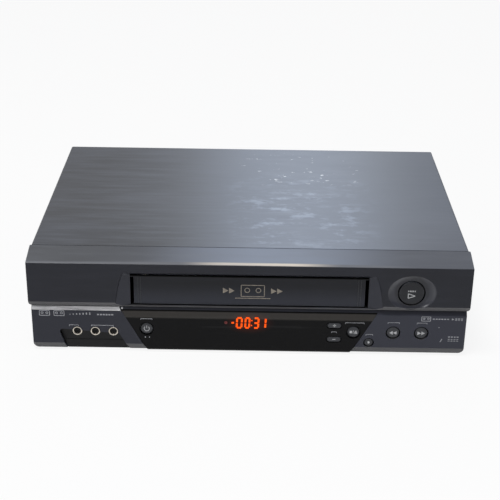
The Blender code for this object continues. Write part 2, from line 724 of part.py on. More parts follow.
def top_cover():
    """The folded steel cover: a top and two sides."""
    outer, inner = COVER_HALF_WIDTH, COVER_HALF_WIDTH - SHEET
    top, under = COVER_TOP, COVER_TOP - SHEET
    corner = COVER_CORNER
    outline = [
        (-outer, COVER_FOOT), (-outer, top - corner), (corner - outer, top), (outer - corner, top),
        (outer, top - corner), (outer, COVER_FOOT), (inner, COVER_FOOT), (inner, under - corner + SHEET / 2),
        (inner - corner + SHEET / 2, under), (corner - SHEET / 2 - inner, under),
        (-inner, under - corner + SHEET / 2), (-inner, COVER_FOOT),
    ]
    cover = prism("top_cover", outline, "Y", behind(COVER_FRONT), behind(BODY_DEPTH))
    for side, depth in screw_places():
        at = (side * outer, behind(depth), SCREW_Z)
        cut(cover, rod("screw_hole", SCREW_SHANK_RADIUS + SEAT_GAP, -OVERRUN, OVERRUN, at, "X", ROUND_SIDES // 2))
    return finished(cover, COVER_GREY, 0.4, 0.2)


def base_chassis():
    """The tray under everything: a floor, two low side walls and posts for the boards and the deck."""
    outer, inner = CHASSIS_HALF_WIDTH, CHASSIS_HALF_WIDTH - CHASSIS_WALL
    outline = [
        (-outer, CHASSIS_FLOOR), (outer, CHASSIS_FLOOR), (outer, CHASSIS_WALL_TOP), (inner, CHASSIS_WALL_TOP),
        (inner, CHASSIS_FLOOR_TOP), (-inner, CHASSIS_FLOOR_TOP), (-inner, CHASSIS_WALL_TOP),
        (-outer, CHASSIS_WALL_TOP),
    ]
    tray = prism("base_chassis", outline, "Y", behind(COVER_FRONT), behind(REAR_PANEL_BEHIND - SEAT_GAP))
    half_floor = CHASSIS_SHEET / 2
    for x, y in deck_post_places():
        height = DECK_UNDERSIDE - SEAT_GAP
        join(tray, rod("post", POST_RADIUS, CHASSIS_FLOOR + half_floor, height, (x, y, 0), sides=ROUND_SIDES // 2))
    for x, y in board_post_places():
        height = BOARD_FOOT - SEAT_GAP
        join(tray, rod("post", POST_RADIUS, CHASSIS_FLOOR + half_floor, height, (x, y, 0), sides=ROUND_SIDES // 2))
    for side, depth in screw_places():
        at = (side * outer, behind(depth), SCREW_Z)
        cut(tray, rod("screw_hole", SCREW_SHANK_RADIUS + SEAT_GAP, -OVERRUN, OVERRUN, at, "X", ROUND_SIDES // 2))
    return finished(tray, IVORY_PLASTIC, 0.6)


def board_post_places():
    """The (x, y) of the four short posts under the main board."""
    return [(side * BOARD_POST_X, behind(depth)) for side in (-1, 1)
            for depth in (BOARD_POST_FRONT, BOARD_POST_BACK)]


def bottom_cover():
    """The steel plate that closes the tray from below."""
    half = CHASSIS_HALF_WIDTH - BOTTOM_MARGIN
    y_span = (behind(COVER_FRONT), behind(REAR_PANEL_BEHIND - BOTTOM_MARGIN))
    foot = FOOT_HEIGHT + SEAT_GAP
    plate = box("bottom_cover", about(0, half), y_span, (foot, foot + SHEET))
    return finished(plate, STEEL, 0.5, 0.8)


FOOT_RADIUS = 0.0095
FOOT_CHAMFER = 0.0008
FOOT_SIDE_INSET = 0.040
FOOT_FRONT = 0.038
FOOT_BACK_INSET = 0.031
FOOT_X = HALF_WIDTH - FOOT_SIDE_INSET
FOOT_BACK = BODY_DEPTH - FOOT_BACK_INSET


def foot(name, side, depth):
    """A low rubber foot under the bottom cover."""
    sole, top = -STAND_HEIGHT, FOOT_HEIGHT
    profile = [(0, sole), (FOOT_RADIUS - FOOT_CHAMFER, sole), (FOOT_RADIUS, sole + FOOT_CHAMFER), (FOOT_RADIUS, top),
               (0, top)]
    return finished(turned(name, profile, (side * FOOT_X, behind(depth), 0)), DARK_RUBBER, 0.9)


def cover_screw(name, side, depth):
    """A pan-head screw through the cover's side into the tray's wall."""
    seat = COVER_HALF_WIDTH + SEAT_GAP / 2
    head = seat + SCREW_HEAD
    profile = [(0, seat - SCREW_LENGTH), (SCREW_SHANK_RADIUS, seat - SCREW_LENGTH), (SCREW_SHANK_RADIUS, seat),
               (SCREW_HEAD_RADIUS, seat), (SCREW_HEAD_RADIUS - SCREW_HEAD / 2, head), (0, head)]
    screw = turned(name, profile, (0, 0, 0), "X", ROUND_SIDES // 2)
    if side < 0:
        screw.data.transform(Matrix.Rotation(math.pi, 4, "Z"))
    screw.data.transform(Matrix.Translation((0, behind(depth), SCREW_Z)))
    return finished(screw, STEEL, 0.35, 1.0)


# Rear panel, sockets, tuner and mains gland
REAR_SOCKET_X = 0.042
REAR_SOCKET_PITCH = 0.0150
REAR_SOCKET_FOOT = 0.0300
REAR_SOCKET_REACH = 0.0045
REAR_BLOCK_HALF = 0.0235
REAR_BLOCK_TOP = 0.0540
REAR_BLOCK_DEPTH = 0.0140
TUNER_INSET = 0.0600
TUNER_X = HALF_WIDTH - TUNER_INSET
TUNER_HALF = 0.0260
TUNER_DEPTH = 0.0600
TUNER_TOP = 0.0520
AERIAL_PITCH = 0.0280
AERIAL_Z = 0.0400
AERIAL_RADIUS = 0.0046
AERIAL_BORE = 0.0024
GLAND_INSET = 0.0400
GLAND_X = GLAND_INSET - HALF_WIDTH
GLAND_Z = 0.0300
GLAND_RADIUS = 0.0055
GLAND_FLANGE_RADIUS = 0.0080
GLAND_FLANGE = 0.0020
GLAND_INNER = 0.0060
CORD_RADIUS = 0.0034
VENT_COUNT = 7
VENT_WIDTH = 0.0024
VENT_PITCH = 0.0070
VENT_X = -0.0900
VENT_Z_SPAN = (0.0500, 0.0800)
REAR_SOCKET_BORE = 0.0033


def rear_socket_places():
    """The (x, z) of the six rear sockets, in two rows of three."""
    return [(REAR_SOCKET_X + REAR_SOCKET_PITCH * column, REAR_SOCKET_FOOT + REAR_SOCKET_PITCH * row)
            for row in (0, 1) for column in (-1, 0, 1)]


def aerial_places():
    """The x of the two aerial connectors."""
    return [TUNER_X + side * AERIAL_PITCH / 2 for side in (-1, 1)]


def rear_panel():
    """The steel back, with holes for the sockets, the aerial connectors and the mains gland, and vents."""
    y_span = (behind(REAR_PANEL_BEHIND), behind(REAR_PANEL_BEHIND + REAR_PANEL))
    z_span = (CHASSIS_FLOOR, COVER_TOP - SHEET - SEAT_GAP)
    panel = box("rear_panel", about(0, CHASSIS_HALF_WIDTH), y_span, z_span)
    corner = COVER_CORNER
    for side in (-1, 1):
        edge, top = side * (CHASSIS_HALF_WIDTH + OVERRUN), z_span[1] + OVERRUN
        inward = side * (CHASSIS_HALF_WIDTH - corner)
        wedge = [(edge, z_span[1] - corner - OVERRUN), (edge, top), (inward - side * OVERRUN, top)]
        cut(panel, prism("corner", wedge, "Y", y_span[0] - OVERRUN, y_span[1] + OVERRUN))
    through = (y_span[0] - OVERRUN, y_span[1] + OVERRUN)
    holes = [(at, SOCKET_RADIUS) for at in rear_socket_places()]
    holes += [((x, AERIAL_Z), AERIAL_RADIUS) for x in aerial_places()]
    holes.append(((GLAND_X, GLAND_Z), GLAND_RADIUS))
    for at, radius in holes:
        cut(panel, prism("hole", circle(at, radius + SOCKET_WALL_GAP, ROUND_SIDES // 2), "Y", *through))
    for step in range(VENT_COUNT):
        x = VENT_X + VENT_PITCH * step
        cut(panel, box("vent", about(x, VENT_WIDTH / 2), through, VENT_Z_SPAN))
    return finished(panel, STEEL, 0.45, 0.9)


def rear_socket_block():
    """The moulded block of six sockets that reach out through the back."""
    front = behind(REAR_PANEL_BEHIND - REAR_BLOCK_DEPTH)
    back = behind(REAR_PANEL_BEHIND - SEAT_GAP)
    block = box("rear_socket_block", about(REAR_SOCKET_X, REAR_BLOCK_HALF), (front, back),
                (BOARD_TOP + SEAT_GAP, REAR_BLOCK_TOP))
    reach = BODY_DEPTH + REAR_SOCKET_REACH
    for x, z in rear_socket_places():
        start = REAR_PANEL_BEHIND - REAR_BLOCK_DEPTH / 2
        join(block, rod("socket", SOCKET_RADIUS, start, reach, (x, FRONT_Y, z), "Y", ROUND_SIDES // 2))
        bore = rod("bore", REAR_SOCKET_BORE, REAR_PANEL_BEHIND, reach + OVERRUN, (x, FRONT_Y, z), "Y",
                   ROUND_SIDES // 2)
        cut(block, bore)
    return finished(block, DARK_RUBBER, 0.5)


def tuner_unit():
    """The screened tuner can with two threaded aerial connectors through the back."""
    front = behind(REAR_PANEL_BEHIND - TUNER_DEPTH)
    back = behind(REAR_PANEL_BEHIND - SEAT_GAP)
    can = box("tuner_unit", about(TUNER_X, TUNER_HALF), (front, back), (BOARD_TOP + SEAT_GAP, TUNER_TOP))
    for x in aerial_places():
        at = (x, FRONT_Y, AERIAL_Z)
        join(can, rod("connector", AERIAL_RADIUS, REAR_PANEL_BEHIND - REAR_BLOCK_DEPTH, DEPTH, at, "Y",
                      ROUND_SIDES // 2))
        cut(can, rod("bore", AERIAL_BORE, BODY_DEPTH, DEPTH + OVERRUN, at, "Y", ROUND_SIDES // 3))
    return finished(can, SILVER, 0.35, 1.0)


def cord_gland():
    """The bushing in the back that the mains cord passes through."""
    inner = REAR_PANEL_BEHIND - GLAND_INNER
    seat = REAR_PANEL_BEHIND + REAR_PANEL + SEAT_GAP
    profile = [(CORD_RADIUS, inner), (GLAND_RADIUS, inner), (GLAND_RADIUS, seat), (GLAND_FLANGE_RADIUS, seat),
               (GLAND_FLANGE_RADIUS, seat + GLAND_FLANGE), (CORD_RADIUS, seat + GLAND_FLANGE)]
    gland = turned("cord_gland", profile, (GLAND_X, FRONT_Y, GLAND_Z), "Y", ring=True)
    return finished(gland, DARK_RUBBER, 0.7)


# Main board and the power parts on it
MAIN_BOARD_MARGIN = 0.0077
MAIN_BOARD_HALF = CHASSIS_HALF_WIDTH - MAIN_BOARD_MARGIN
MAIN_BOARD_FRONT = 0.0320
MAIN_BOARD_BACK_GAP = 0.0040
POST_HOLE_GAP = 0.0010
TRANSFORMER_SIDE_INSET = 0.0450
TRANSFORMER_BACK_INSET = 0.0400
TRANSFORMER_AT = (TRANSFORMER_SIDE_INSET - HALF_WIDTH, BODY_DEPTH - TRANSFORMER_BACK_INSET)
TRANSFORMER_HALF_WIDTH = 0.0250
TRANSFORMER_HALF_DEPTH = 0.0200
TRANSFORMER_CORE_FOOT = 0.0150
TRANSFORMER_TOP = 0.0580
BOBBIN_HALF_WIDTH = 0.0150
BOBBIN_OVERHANG = 0.0070
BOBBIN_MARGIN = 0.0060
SINK_SIDE_INSET = 0.0310
SINK_BACK_INSET = 0.0930
SINK_AT = (SINK_SIDE_INSET - HALF_WIDTH, BODY_DEPTH - SINK_BACK_INSET)
SINK_HALF_WIDTH = 0.0180
SINK_BASE = 0.0030
SINK_FIN = 0.0014
SINK_FIN_REACH = 0.0120
SINK_FINS = 6
SINK_TOP = 0.0560
CAPACITOR_SIDE_INSET = 0.0240
CAPACITOR_BACK_INSET = 0.1200
CAPACITOR_AT = (CAPACITOR_SIDE_INSET - HALF_WIDTH, BODY_DEPTH - CAPACITOR_BACK_INSET)
CAPACITOR_RADIUS = 0.0110
CAPACITOR_TOP = 0.0460
CAPACITOR_GROOVE = 0.0008
CAPACITOR_GROOVE_FALL = 0.0040


def main_board():
    """The large circuit board on its short posts, with holes that let the deck's posts through."""
    y_span = (behind(MAIN_BOARD_FRONT), behind(REAR_PANEL_BEHIND - MAIN_BOARD_BACK_GAP))
    board = box("main_board", about(0, MAIN_BOARD_HALF), y_span, (BOARD_FOOT, BOARD_TOP))
    for at in deck_post_places():
        hole = circle(at, POST_RADIUS + POST_HOLE_GAP, ROUND_SIDES // 2)
        cut(board, prism("post_hole", hole, "Z", BOARD_FOOT - OVERRUN, BOARD_TOP + OVERRUN))
    return finished(board, BOARD_GREEN, 0.5)


def power_transformer():
    """The mains transformer: a laminated core round a bobbin, on two feet."""
    x, y = TRANSFORMER_AT[0], behind(TRANSFORMER_AT[1])
    base = BOARD_TOP + SEAT_GAP
    core_x = about(x, TRANSFORMER_HALF_WIDTH)
    core_y = about(y, TRANSFORMER_HALF_DEPTH)
    core = box("power_transformer", core_x, core_y, (TRANSFORMER_CORE_FOOT, TRANSFORMER_TOP))
    bobbin_y = about(y, TRANSFORMER_HALF_DEPTH + BOBBIN_OVERHANG)
    bobbin_z = (base, TRANSFORMER_TOP - BOBBIN_MARGIN)
    join(core, box("bobbin", about(x, BOBBIN_HALF_WIDTH), bobbin_y, bobbin_z))
    return finished(core, STEEL, 0.6, 0.6)


def heat_sink():
    """The finned aluminium sink for the supply's transistors."""
    x, y = SINK_AT[0], behind(SINK_AT[1])
    z_span = (BOARD_TOP + SEAT_GAP, SINK_TOP)
    sink = box("heat_sink", about(x, SINK_HALF_WIDTH), (y, y + SINK_BASE), z_span)
    spread = SINK_HALF_WIDTH - SINK_FIN / 2
    for step in range(SINK_FINS):
        centre = x - spread + 2 * spread * step / (SINK_FINS - 1)
        fin_y = (y + SINK_BASE / 2, y + SINK_BASE + SINK_FIN_REACH)
        join(sink, box("fin", about(centre, SINK_FIN / 2), fin_y, z_span))
    return finished(sink, SILVER, 0.5, 1.0)


def filter_capacitor():
    """The supply's smoothing capacitor, a can with a groove near its top."""
    base, top = BOARD_TOP + SEAT_GAP, CAPACITOR_TOP
    groove = top - CAPACITOR_GROOVE_FALL
    waist = CAPACITOR_RADIUS - CAPACITOR_GROOVE
    profile = [(0, base), (CAPACITOR_RADIUS, base), (CAPACITOR_RADIUS, groove - CAPACITOR_GROOVE),
               (waist, groove), (CAPACITOR_RADIUS, groove + CAPACITOR_GROOVE), (CAPACITOR_RADIUS, top), (0, top)]
    can = turned("filter_capacitor", profile, (CAPACITOR_AT[0], behind(CAPACITOR_AT[1]), 0))
    return finished(can, GLOSS_BLACK, 0.35)


# Tape deck plate and what is pressed into it
DECK_SHEET = 0.0016
DECK_HALF_WIDTH = 0.1120
DECK_FRONT = 0.0380
DECK_BACK = 0.2140
DECK_TOP = DECK_UNDERSIDE + DECK_SHEET
SPINDLE_RADIUS = 0.0030
SPINDLE_TOP = 0.0370
REEL_X = 0.0450
REEL_BEHIND = 0.0800
DRUM_BEHIND = 0.1720
DRUM_RADIUS = 0.0310
DRUM_TILT_DEGREES = 5.5
DRUM_BASE_Z = 0.0310
CAPSTAN_AT = (0.0520, 0.1380)
CAPSTAN_SHAFT_RADIUS = 0.0015
CAPSTAN_BOSS_RADIUS = 0.0050
PINCH_PIVOT_AT = (0.0740, 0.1520)
PINCH_PIN_RADIUS = 0.0020
PINCH_PIN_TOP = 0.0450
CAM_AT = (-0.0760, 0.1720)
CAM_PIN_RADIUS = 0.0030
POLE_START_X = 0.0200
POLE_START_BEHIND = 0.1220
POLE_END_X = 0.0451
POLE_END_BEHIND = 0.1819
POLE_SLOT_HALF = 0.0022
POLE_PIN_RADIUS = 0.0016
GEAR_MODULE = 0.0010
CAM_TEETH = 40
PINION_TEETH = 10
GEAR_ADDENDUM = 0.0008
GEAR_DEDENDUM = 0.0011
GEAR_BACKLASH = 0.0003
TOOTH_ROOT_SHARE = 0.56
TOOTH_TIP_SHARE = 0.22
CAM_RADIUS = GEAR_MODULE * CAM_TEETH / 2
PINION_RADIUS = GEAR_MODULE * PINION_TEETH / 2
PINION_BEHIND = CAM_AT[1] + CAM_RADIUS + PINION_RADIUS + GEAR_BACKLASH
MOTOR_SHAFT_RADIUS = 0.0012


def pole_path(side):
    """The start and the end of a guide pole's path on the deck, as (x, y)."""
    start = Vector((side * POLE_START_X, behind(POLE_START_BEHIND)))
    end = Vector((side * POLE_END_X, behind(POLE_END_BEHIND)))
    return start, end


def pole_slot(side):
    """The slot that a guide pole rides along."""
    start, end = pole_path(side)
    along = (end - start).normalized()
    across = Vector((-along.y, along.x)) * POLE_SLOT_HALF
    reach = along * (POLE_SLOT_HALF + RUNNING_GAP)
    corners = [start - reach - across, end + reach - across, end + reach + across, start - reach + across]
    outline = [tuple(corner) for corner in corners]
    return prism("slot", outline, "Z", DECK_UNDERSIDE - OVERRUN, DECK_TOP + OVERRUN)


def deck_plate():
    """The steel plate that carries the tape mechanism, with its pressed-in pins and its guide slots."""
    plate = box("deck_plate", about(0, DECK_HALF_WIDTH), (behind(DECK_FRONT), behind(DECK_BACK)),
                (DECK_UNDERSIDE, DECK_TOP))
    half = DECK_UNDERSIDE + DECK_SHEET / 2
    pins = [((side * REEL_X, REEL_BEHIND), SPINDLE_RADIUS, SPINDLE_TOP) for side in (-1, 1)]
    pins.append((PINCH_PIVOT_AT, PINCH_PIN_RADIUS, PINCH_PIN_TOP))
    pins.append((CAM_AT, CAM_PIN_RADIUS, DECK_TOP + CAM_THICKNESS))
    for at, radius, top in pins:
        join(plate, rod("pin", radius, half, top, (at[0], behind(at[1]), 0), sides=ROUND_SIDES // 2))
    through = (DECK_UNDERSIDE - OVERRUN, DECK_TOP + OVERRUN)
    capstan = (CAPSTAN_AT[0], behind(CAPSTAN_AT[1]))
    cut(plate, prism("boss_hole", circle(capstan, CAPSTAN_BOSS_RADIUS + RUNNING_GAP), "Z", *through))
    shaft = (CAM_AT[0], behind(PINION_BEHIND))
    cut(plate, prism("shaft_hole", circle(shaft, MOTOR_SHAFT_RADIUS * 2, ROUND_SIDES // 2), "Z", *through))
    cut(plate, pole_slot(-1), pole_slot(1))
    return finished(plate, STEEL, 0.4, 1.0)


# Cassette holder, its carriages and the frame that guides them
CASSETTE_SIDE_PLAY = 0.0010
CASSETTE_HEIGHT_PLAY = 0.0030
HOLDER_SHEET = 0.0010
HOLDER_LIP = 0.0150
HOLDER_FRONT = 0.0360
HOLDER_LENGTH = 0.0440
HOLDER_DECK_GAP = 0.0006
CARRIAGE_SHEET = 0.0016
CARRIAGE_LENGTH = 0.0360
CARRIAGE_MARGIN = 0.0030
CARRIAGE_CEILING = 0.0038
FRAME_SHEET = 0.0012
FRAME_FRONT = 0.0385
FRAME_BACK = 0.1500
FRAME_TOP = 0.0820
GUIDE_PIN_RADIUS = 0.0013
GUIDE_PIN_RISE = 0.0120
LIFT_PIN_DROP = 0.0160
LIFT_PIN_SHARE = 0.9
BRIDGE_FRONT = 0.0480
BRIDGE_BACK = 0.0720

HOLDER_INNER = CASSETTE_WIDTH / 2 + CASSETTE_SIDE_PLAY
HOLDER_OUTER = HOLDER_INNER + HOLDER_SHEET
HOLDER_FOOT = DECK_TOP + HOLDER_DECK_GAP + LOWERING_STROKE
HOLDER_TOP = HOLDER_FOOT + HOLDER_SHEET * 2 + CASSETTE_THICKNESS + CASSETTE_HEIGHT_PLAY
CARRIAGE_INNER = HOLDER_OUTER + RUNNING_GAP
CARRIAGE_OUTER = CARRIAGE_INNER + CARRIAGE_SHEET
FRAME_INNER = CARRIAGE_OUTER + RUNNING_GAP
FRAME_OUTER = FRAME_INNER + FRAME_SHEET
HOLDER_MIDDLE = HOLDER_FRONT + HOLDER_LENGTH / 2
LIFT_PIN_Z = HOLDER_TOP - LIFT_PIN_DROP
CARRIAGE_TOP = HOLDER_TOP + CARRIAGE_CEILING
CARRIAGE_FOOT = LIFT_PIN_Z - LOWERING_STROKE - GUIDE_PIN_RADIUS - RUNNING_GAP - CARRIAGE_MARGIN
GUIDE_Z = CARRIAGE_TOP - GUIDE_PIN_RISE
GUIDE_PIN_SPREAD = CARRIAGE_LENGTH / 2 - CARRIAGE_MARGIN - GUIDE_PIN_RADIUS


def side_span(side, inner, outer):
    """The x limits, in rising order, of a piece between two distances from the middle."""
    return tuple(sorted((side * inner, side * outer)))


def cassette_holder():
    """The box that a cassette slides into: a top, two sides and a lip along each side."""
    outer, inner, lip = HOLDER_OUTER, HOLDER_INNER, HOLDER_OUTER - HOLDER_LIP
    foot, top = HOLDER_FOOT, HOLDER_TOP
    outline = [
        (-outer, foot), (-outer, top), (outer, top), (outer, foot), (lip, foot), (lip, foot + HOLDER_SHEET),
        (inner, foot + HOLDER_SHEET), (inner, top - HOLDER_SHEET), (-inner, top - HOLDER_SHEET),
        (-inner, foot + HOLDER_SHEET), (-lip, foot + HOLDER_SHEET), (-lip, foot),
    ]
    back = HOLDER_FRONT + HOLDER_LENGTH
    holder = prism("cassette_holder", outline, "Y", behind(HOLDER_FRONT), behind(back))
    for side in (-1, 1):
        reach = CARRIAGE_INNER + CARRIAGE_SHEET * LIFT_PIN_SHARE
        span = side_span(side, HOLDER_INNER + HOLDER_SHEET / 2, reach)
        at = (0, behind(HOLDER_MIDDLE), LIFT_PIN_Z)
        join(holder, rod("lift_pin", GUIDE_PIN_RADIUS, *span, at, "X", ROUND_SIDES // 2))
    return finished(holder, STEEL, 0.4, 1.0, origin=(0, behind(HOLDER_MIDDLE), LIFT_PIN_Z))


def carriage(name, side):
    """A plate that slides back along the frame on two pins, with an upright slot for the holder's pin."""
    y_span = about(behind(HOLDER_MIDDLE), CARRIAGE_LENGTH / 2)
    x_span = side_span(side, CARRIAGE_INNER, CARRIAGE_OUTER)
    plate = box(name, x_span, y_span, (CARRIAGE_FOOT, CARRIAGE_TOP))
    slot_half = GUIDE_PIN_RADIUS + RUNNING_GAP
    slot_x = (x_span[0] - OVERRUN, x_span[1] + OVERRUN)
    slot_z = (LIFT_PIN_Z - LOWERING_STROKE - slot_half, LIFT_PIN_Z + slot_half)
    cut(plate, box("lift_slot", slot_x, about(behind(HOLDER_MIDDLE), slot_half), slot_z))
    for way in (-1, 1):
        at = (0, behind(HOLDER_MIDDLE) + way * GUIDE_PIN_SPREAD, GUIDE_Z)
        span = side_span(side, CARRIAGE_INNER + CARRIAGE_SHEET / 2, FRAME_OUTER)
        join(plate, rod("guide_pin", GUIDE_PIN_RADIUS, *span, at, "X", ROUND_SIDES // 2))
    return finished(plate, IVORY_PLASTIC, 0.5, origin=(side * CARRIAGE_INNER, behind(HOLDER_MIDDLE), GUIDE_Z))


def side_frame(name, side):
    """An upright plate on the deck with a level slot that the carriage's pins run along."""
    x_span = side_span(side, FRAME_INNER, FRAME_OUTER)
    plate = box(name, x_span, (behind(FRAME_FRONT), behind(FRAME_BACK)), (DECK_TOP + SEAT_GAP, FRAME_TOP))
    slot_half = GUIDE_PIN_RADIUS + RUNNING_GAP
    reach = GUIDE_PIN_SPREAD + slot_half
    slot_y = (behind(HOLDER_MIDDLE) - reach, behind(HOLDER_MIDDLE + LOADING_STROKE) + reach)
    slot_x = (x_span[0] - OVERRUN, x_span[1] + OVERRUN)
    cut(plate, box("guide_slot", slot_x, slot_y, about(GUIDE_Z, slot_half)))
    return finished(plate, STEEL, 0.4, 1.0)


def top_bridge():
    """The strap that ties the two side frames together over the holder."""
    z_span = (FRAME_TOP + SEAT_GAP, FRAME_TOP + SEAT_GAP + FRAME_SHEET)
    bridge = box("top_bridge", about(0, FRAME_OUTER), (behind(BRIDGE_FRONT), behind(BRIDGE_BACK)), z_span)
    return finished(bridge, STEEL, 0.4, 1.0)


# Reel tables
REEL_RADIUS = 0.0200
REEL_FLANGE = 0.0020
REEL_HUB_RADIUS = 0.0090
REEL_NOSE_RADIUS = 0.0065
REEL_NOSE = 0.0025


def reel_table(name, side):
    """A turntable that drives one of the cassette's reels, on the deck's spindle."""
    base = DECK_TOP + SEAT_GAP
    bore = SPINDLE_RADIUS + RUNNING_GAP
    top = SPINDLE_TOP + SEAT_GAP
    profile = [(bore, base), (REEL_RADIUS, base), (REEL_RADIUS, base + REEL_FLANGE),
               (REEL_HUB_RADIUS, base + REEL_FLANGE), (REEL_HUB_RADIUS, top - REEL_NOSE),
               (REEL_NOSE_RADIUS, top), (bore, top)]
    at = (side * REEL_X, behind(REEL_BEHIND), 0)
    table = turned(name, profile, at, ring=True)
    return finished(table, IVORY_PLASTIC, 0.5, origin=(at[0], at[1], base))


# Head drum
LOWER_DRUM_FOOT = -0.0020
LOWER_DRUM_TOP = 0.0150
DRUM_GAP = 0.0004
UPPER_DRUM_TOP = 0.0290
DRUM_MOTOR_RADIUS = 0.0200
DRUM_MOTOR_TOP = 0.0335
DRUM_SHAFT_RADIUS = 0.0030
DRUM_SHAFT_FOOT = 0.0040
DRUM_BORE_GAP = 0.0005


def drum_frame():
    """The matrix that leans the drum back about the centre of its base."""
    lean = Matrix.Rotation(-math.radians(DRUM_TILT_DEGREES), 4, "X")
    return Matrix.Translation((0, behind(DRUM_BEHIND), DRUM_BASE_Z)) @ lean


def lower_drum():
    """The fixed half of the head drum, leaning on a level base, with a bore for the shaft."""
    drum = rod("lower_drum", DRUM_RADIUS, LOWER_DRUM_FOOT, LOWER_DRUM_TOP, (0, 0, 0), sides=ROUND_SIDES * 2)
    drum.data.transform(drum_frame())
    centre = (0, behind(DRUM_BEHIND), 0)
    join(drum, rod("base", DRUM_RADIUS, DECK_TOP + SEAT_GAP, DRUM_BASE_Z, centre, sides=ROUND_SIDES * 2))
    foot = DRUM_SHAFT_FOOT - DRUM_BORE_GAP
    bore = rod("bore", DRUM_SHAFT_RADIUS + DRUM_BORE_GAP, foot, LOWER_DRUM_TOP + OVERRUN, (0, 0, 0))
    bore.data.transform(drum_frame())
    cut(drum, bore)
    return finished(drum, SILVER, 0.3, 1.0)


def upper_drum():
    """The spinning half of the head drum, with its rotor on top and its shaft below."""
    foot = LOWER_DRUM_TOP + DRUM_GAP
    profile = [
        (0, DRUM_SHAFT_FOOT), (DRUM_SHAFT_RADIUS, DRUM_SHAFT_FOOT), (DRUM_SHAFT_RADIUS, foot),
        (DRUM_RADIUS, foot), (DRUM_RADIUS, UPPER_DRUM_TOP), (DRUM_MOTOR_RADIUS, UPPER_DRUM_TOP),
        (DRUM_MOTOR_RADIUS, DRUM_MOTOR_TOP), (0, DRUM_MOTOR_TOP),
    ]
    drum = turned("upper_drum", profile, (0, 0, 0), sides=ROUND_SIDES * 2)
    finished(drum, SILVER, 0.2, 1.0)
    drum.matrix_world = drum_frame()
    return drum


# Capstan, pinch roller and tape heads
CAPSTAN_TOP = 0.0500
ROTOR_RADIUS = 0.0220
ROTOR_FOOT = 0.0130
ROTOR_HEIGHT = 0.0062
STATOR_RADIUS = 0.0190
CAPSTAN_BORE_GAP = 0.0006
PINCH_ARM_LENGTH = 0.0240
PINCH_SWING_DEGREES = 24.0
PINCH_ROLLER_RADIUS = 0.0060
PINCH_PRESS_GAP = 0.0005
PINCH_HUB_RADIUS = 0.0042
PINCH_ARM_HALF = 0.0028
PINCH_ARM_THICKNESS = 0.0020
PINCH_AXLE_RADIUS = 0.0015
PINCH_ROLLER_FOOT = 0.0275
CAPSTAN_BOSS_TOP = PINCH_ROLLER_FOOT - RUNNING_GAP
HEAD_HALF = 0.0040
HEAD_FACE_SHARE = 0.9
HEAD_TOP = 0.0480
ERASE_HEAD_AT = (-0.0540, 0.1400)
SOUND_HEAD_AT = (0.0690, 0.1760)


def capstan_base():
    """The capstan's stator under the deck, with a bearing boss that stands up through it."""
    bore = CAPSTAN_SHAFT_RADIUS + CAPSTAN_BORE_GAP
    foot = ROTOR_FOOT + ROTOR_HEIGHT + RUNNING_GAP
    seat = DECK_UNDERSIDE - SEAT_GAP
    profile = [(bore, foot), (STATOR_RADIUS, foot), (STATOR_RADIUS, seat), (CAPSTAN_BOSS_RADIUS, seat),
               (CAPSTAN_BOSS_RADIUS, CAPSTAN_BOSS_TOP), (bore, CAPSTAN_BOSS_TOP)]
    base = turned("capstan_base", profile, (CAPSTAN_AT[0], behind(CAPSTAN_AT[1]), 0), ring=True)
    return finished(base, STEEL, 0.4, 1.0)


def capstan_rotor():
    """The capstan's flywheel under the deck and the thin shaft that pulls the tape."""
    top = ROTOR_FOOT + ROTOR_HEIGHT
    profile = [(0, ROTOR_FOOT), (ROTOR_RADIUS, ROTOR_FOOT), (ROTOR_RADIUS, top), (CAPSTAN_SHAFT_RADIUS, top),
               (CAPSTAN_SHAFT_RADIUS, CAPSTAN_TOP), (0, CAPSTAN_TOP)]
    at = (CAPSTAN_AT[0], behind(CAPSTAN_AT[1]), 0)
    rotor = turned("capstan_rotor", profile, at)
    return finished(rotor, SILVER, 0.25, 1.0, origin=(at[0], at[1], ROTOR_FOOT))


def pinch_rest_place():
    """Where the pinch roller's axle rests, as (x, y), swung away from the capstan."""
    pivot = Vector((PINCH_PIVOT_AT[0], behind(PINCH_PIVOT_AT[1])))
    capstan = Vector((CAPSTAN_AT[0], behind(CAPSTAN_AT[1])))
    to_capstan = capstan - pivot
    span = to_capstan.length
    press = PINCH_ROLLER_RADIUS + CAPSTAN_SHAFT_RADIUS + PINCH_PRESS_GAP
    cosine = (PINCH_ARM_LENGTH ** 2 + span ** 2 - press ** 2) / (2 * PINCH_ARM_LENGTH * span)
    pressed = math.atan2(to_capstan.y, to_capstan.x) - math.acos(cosine)
    rest = pressed - math.radians(PINCH_SWING_DEGREES)
    return pivot + PINCH_ARM_LENGTH * Vector((math.cos(rest), math.sin(rest)))


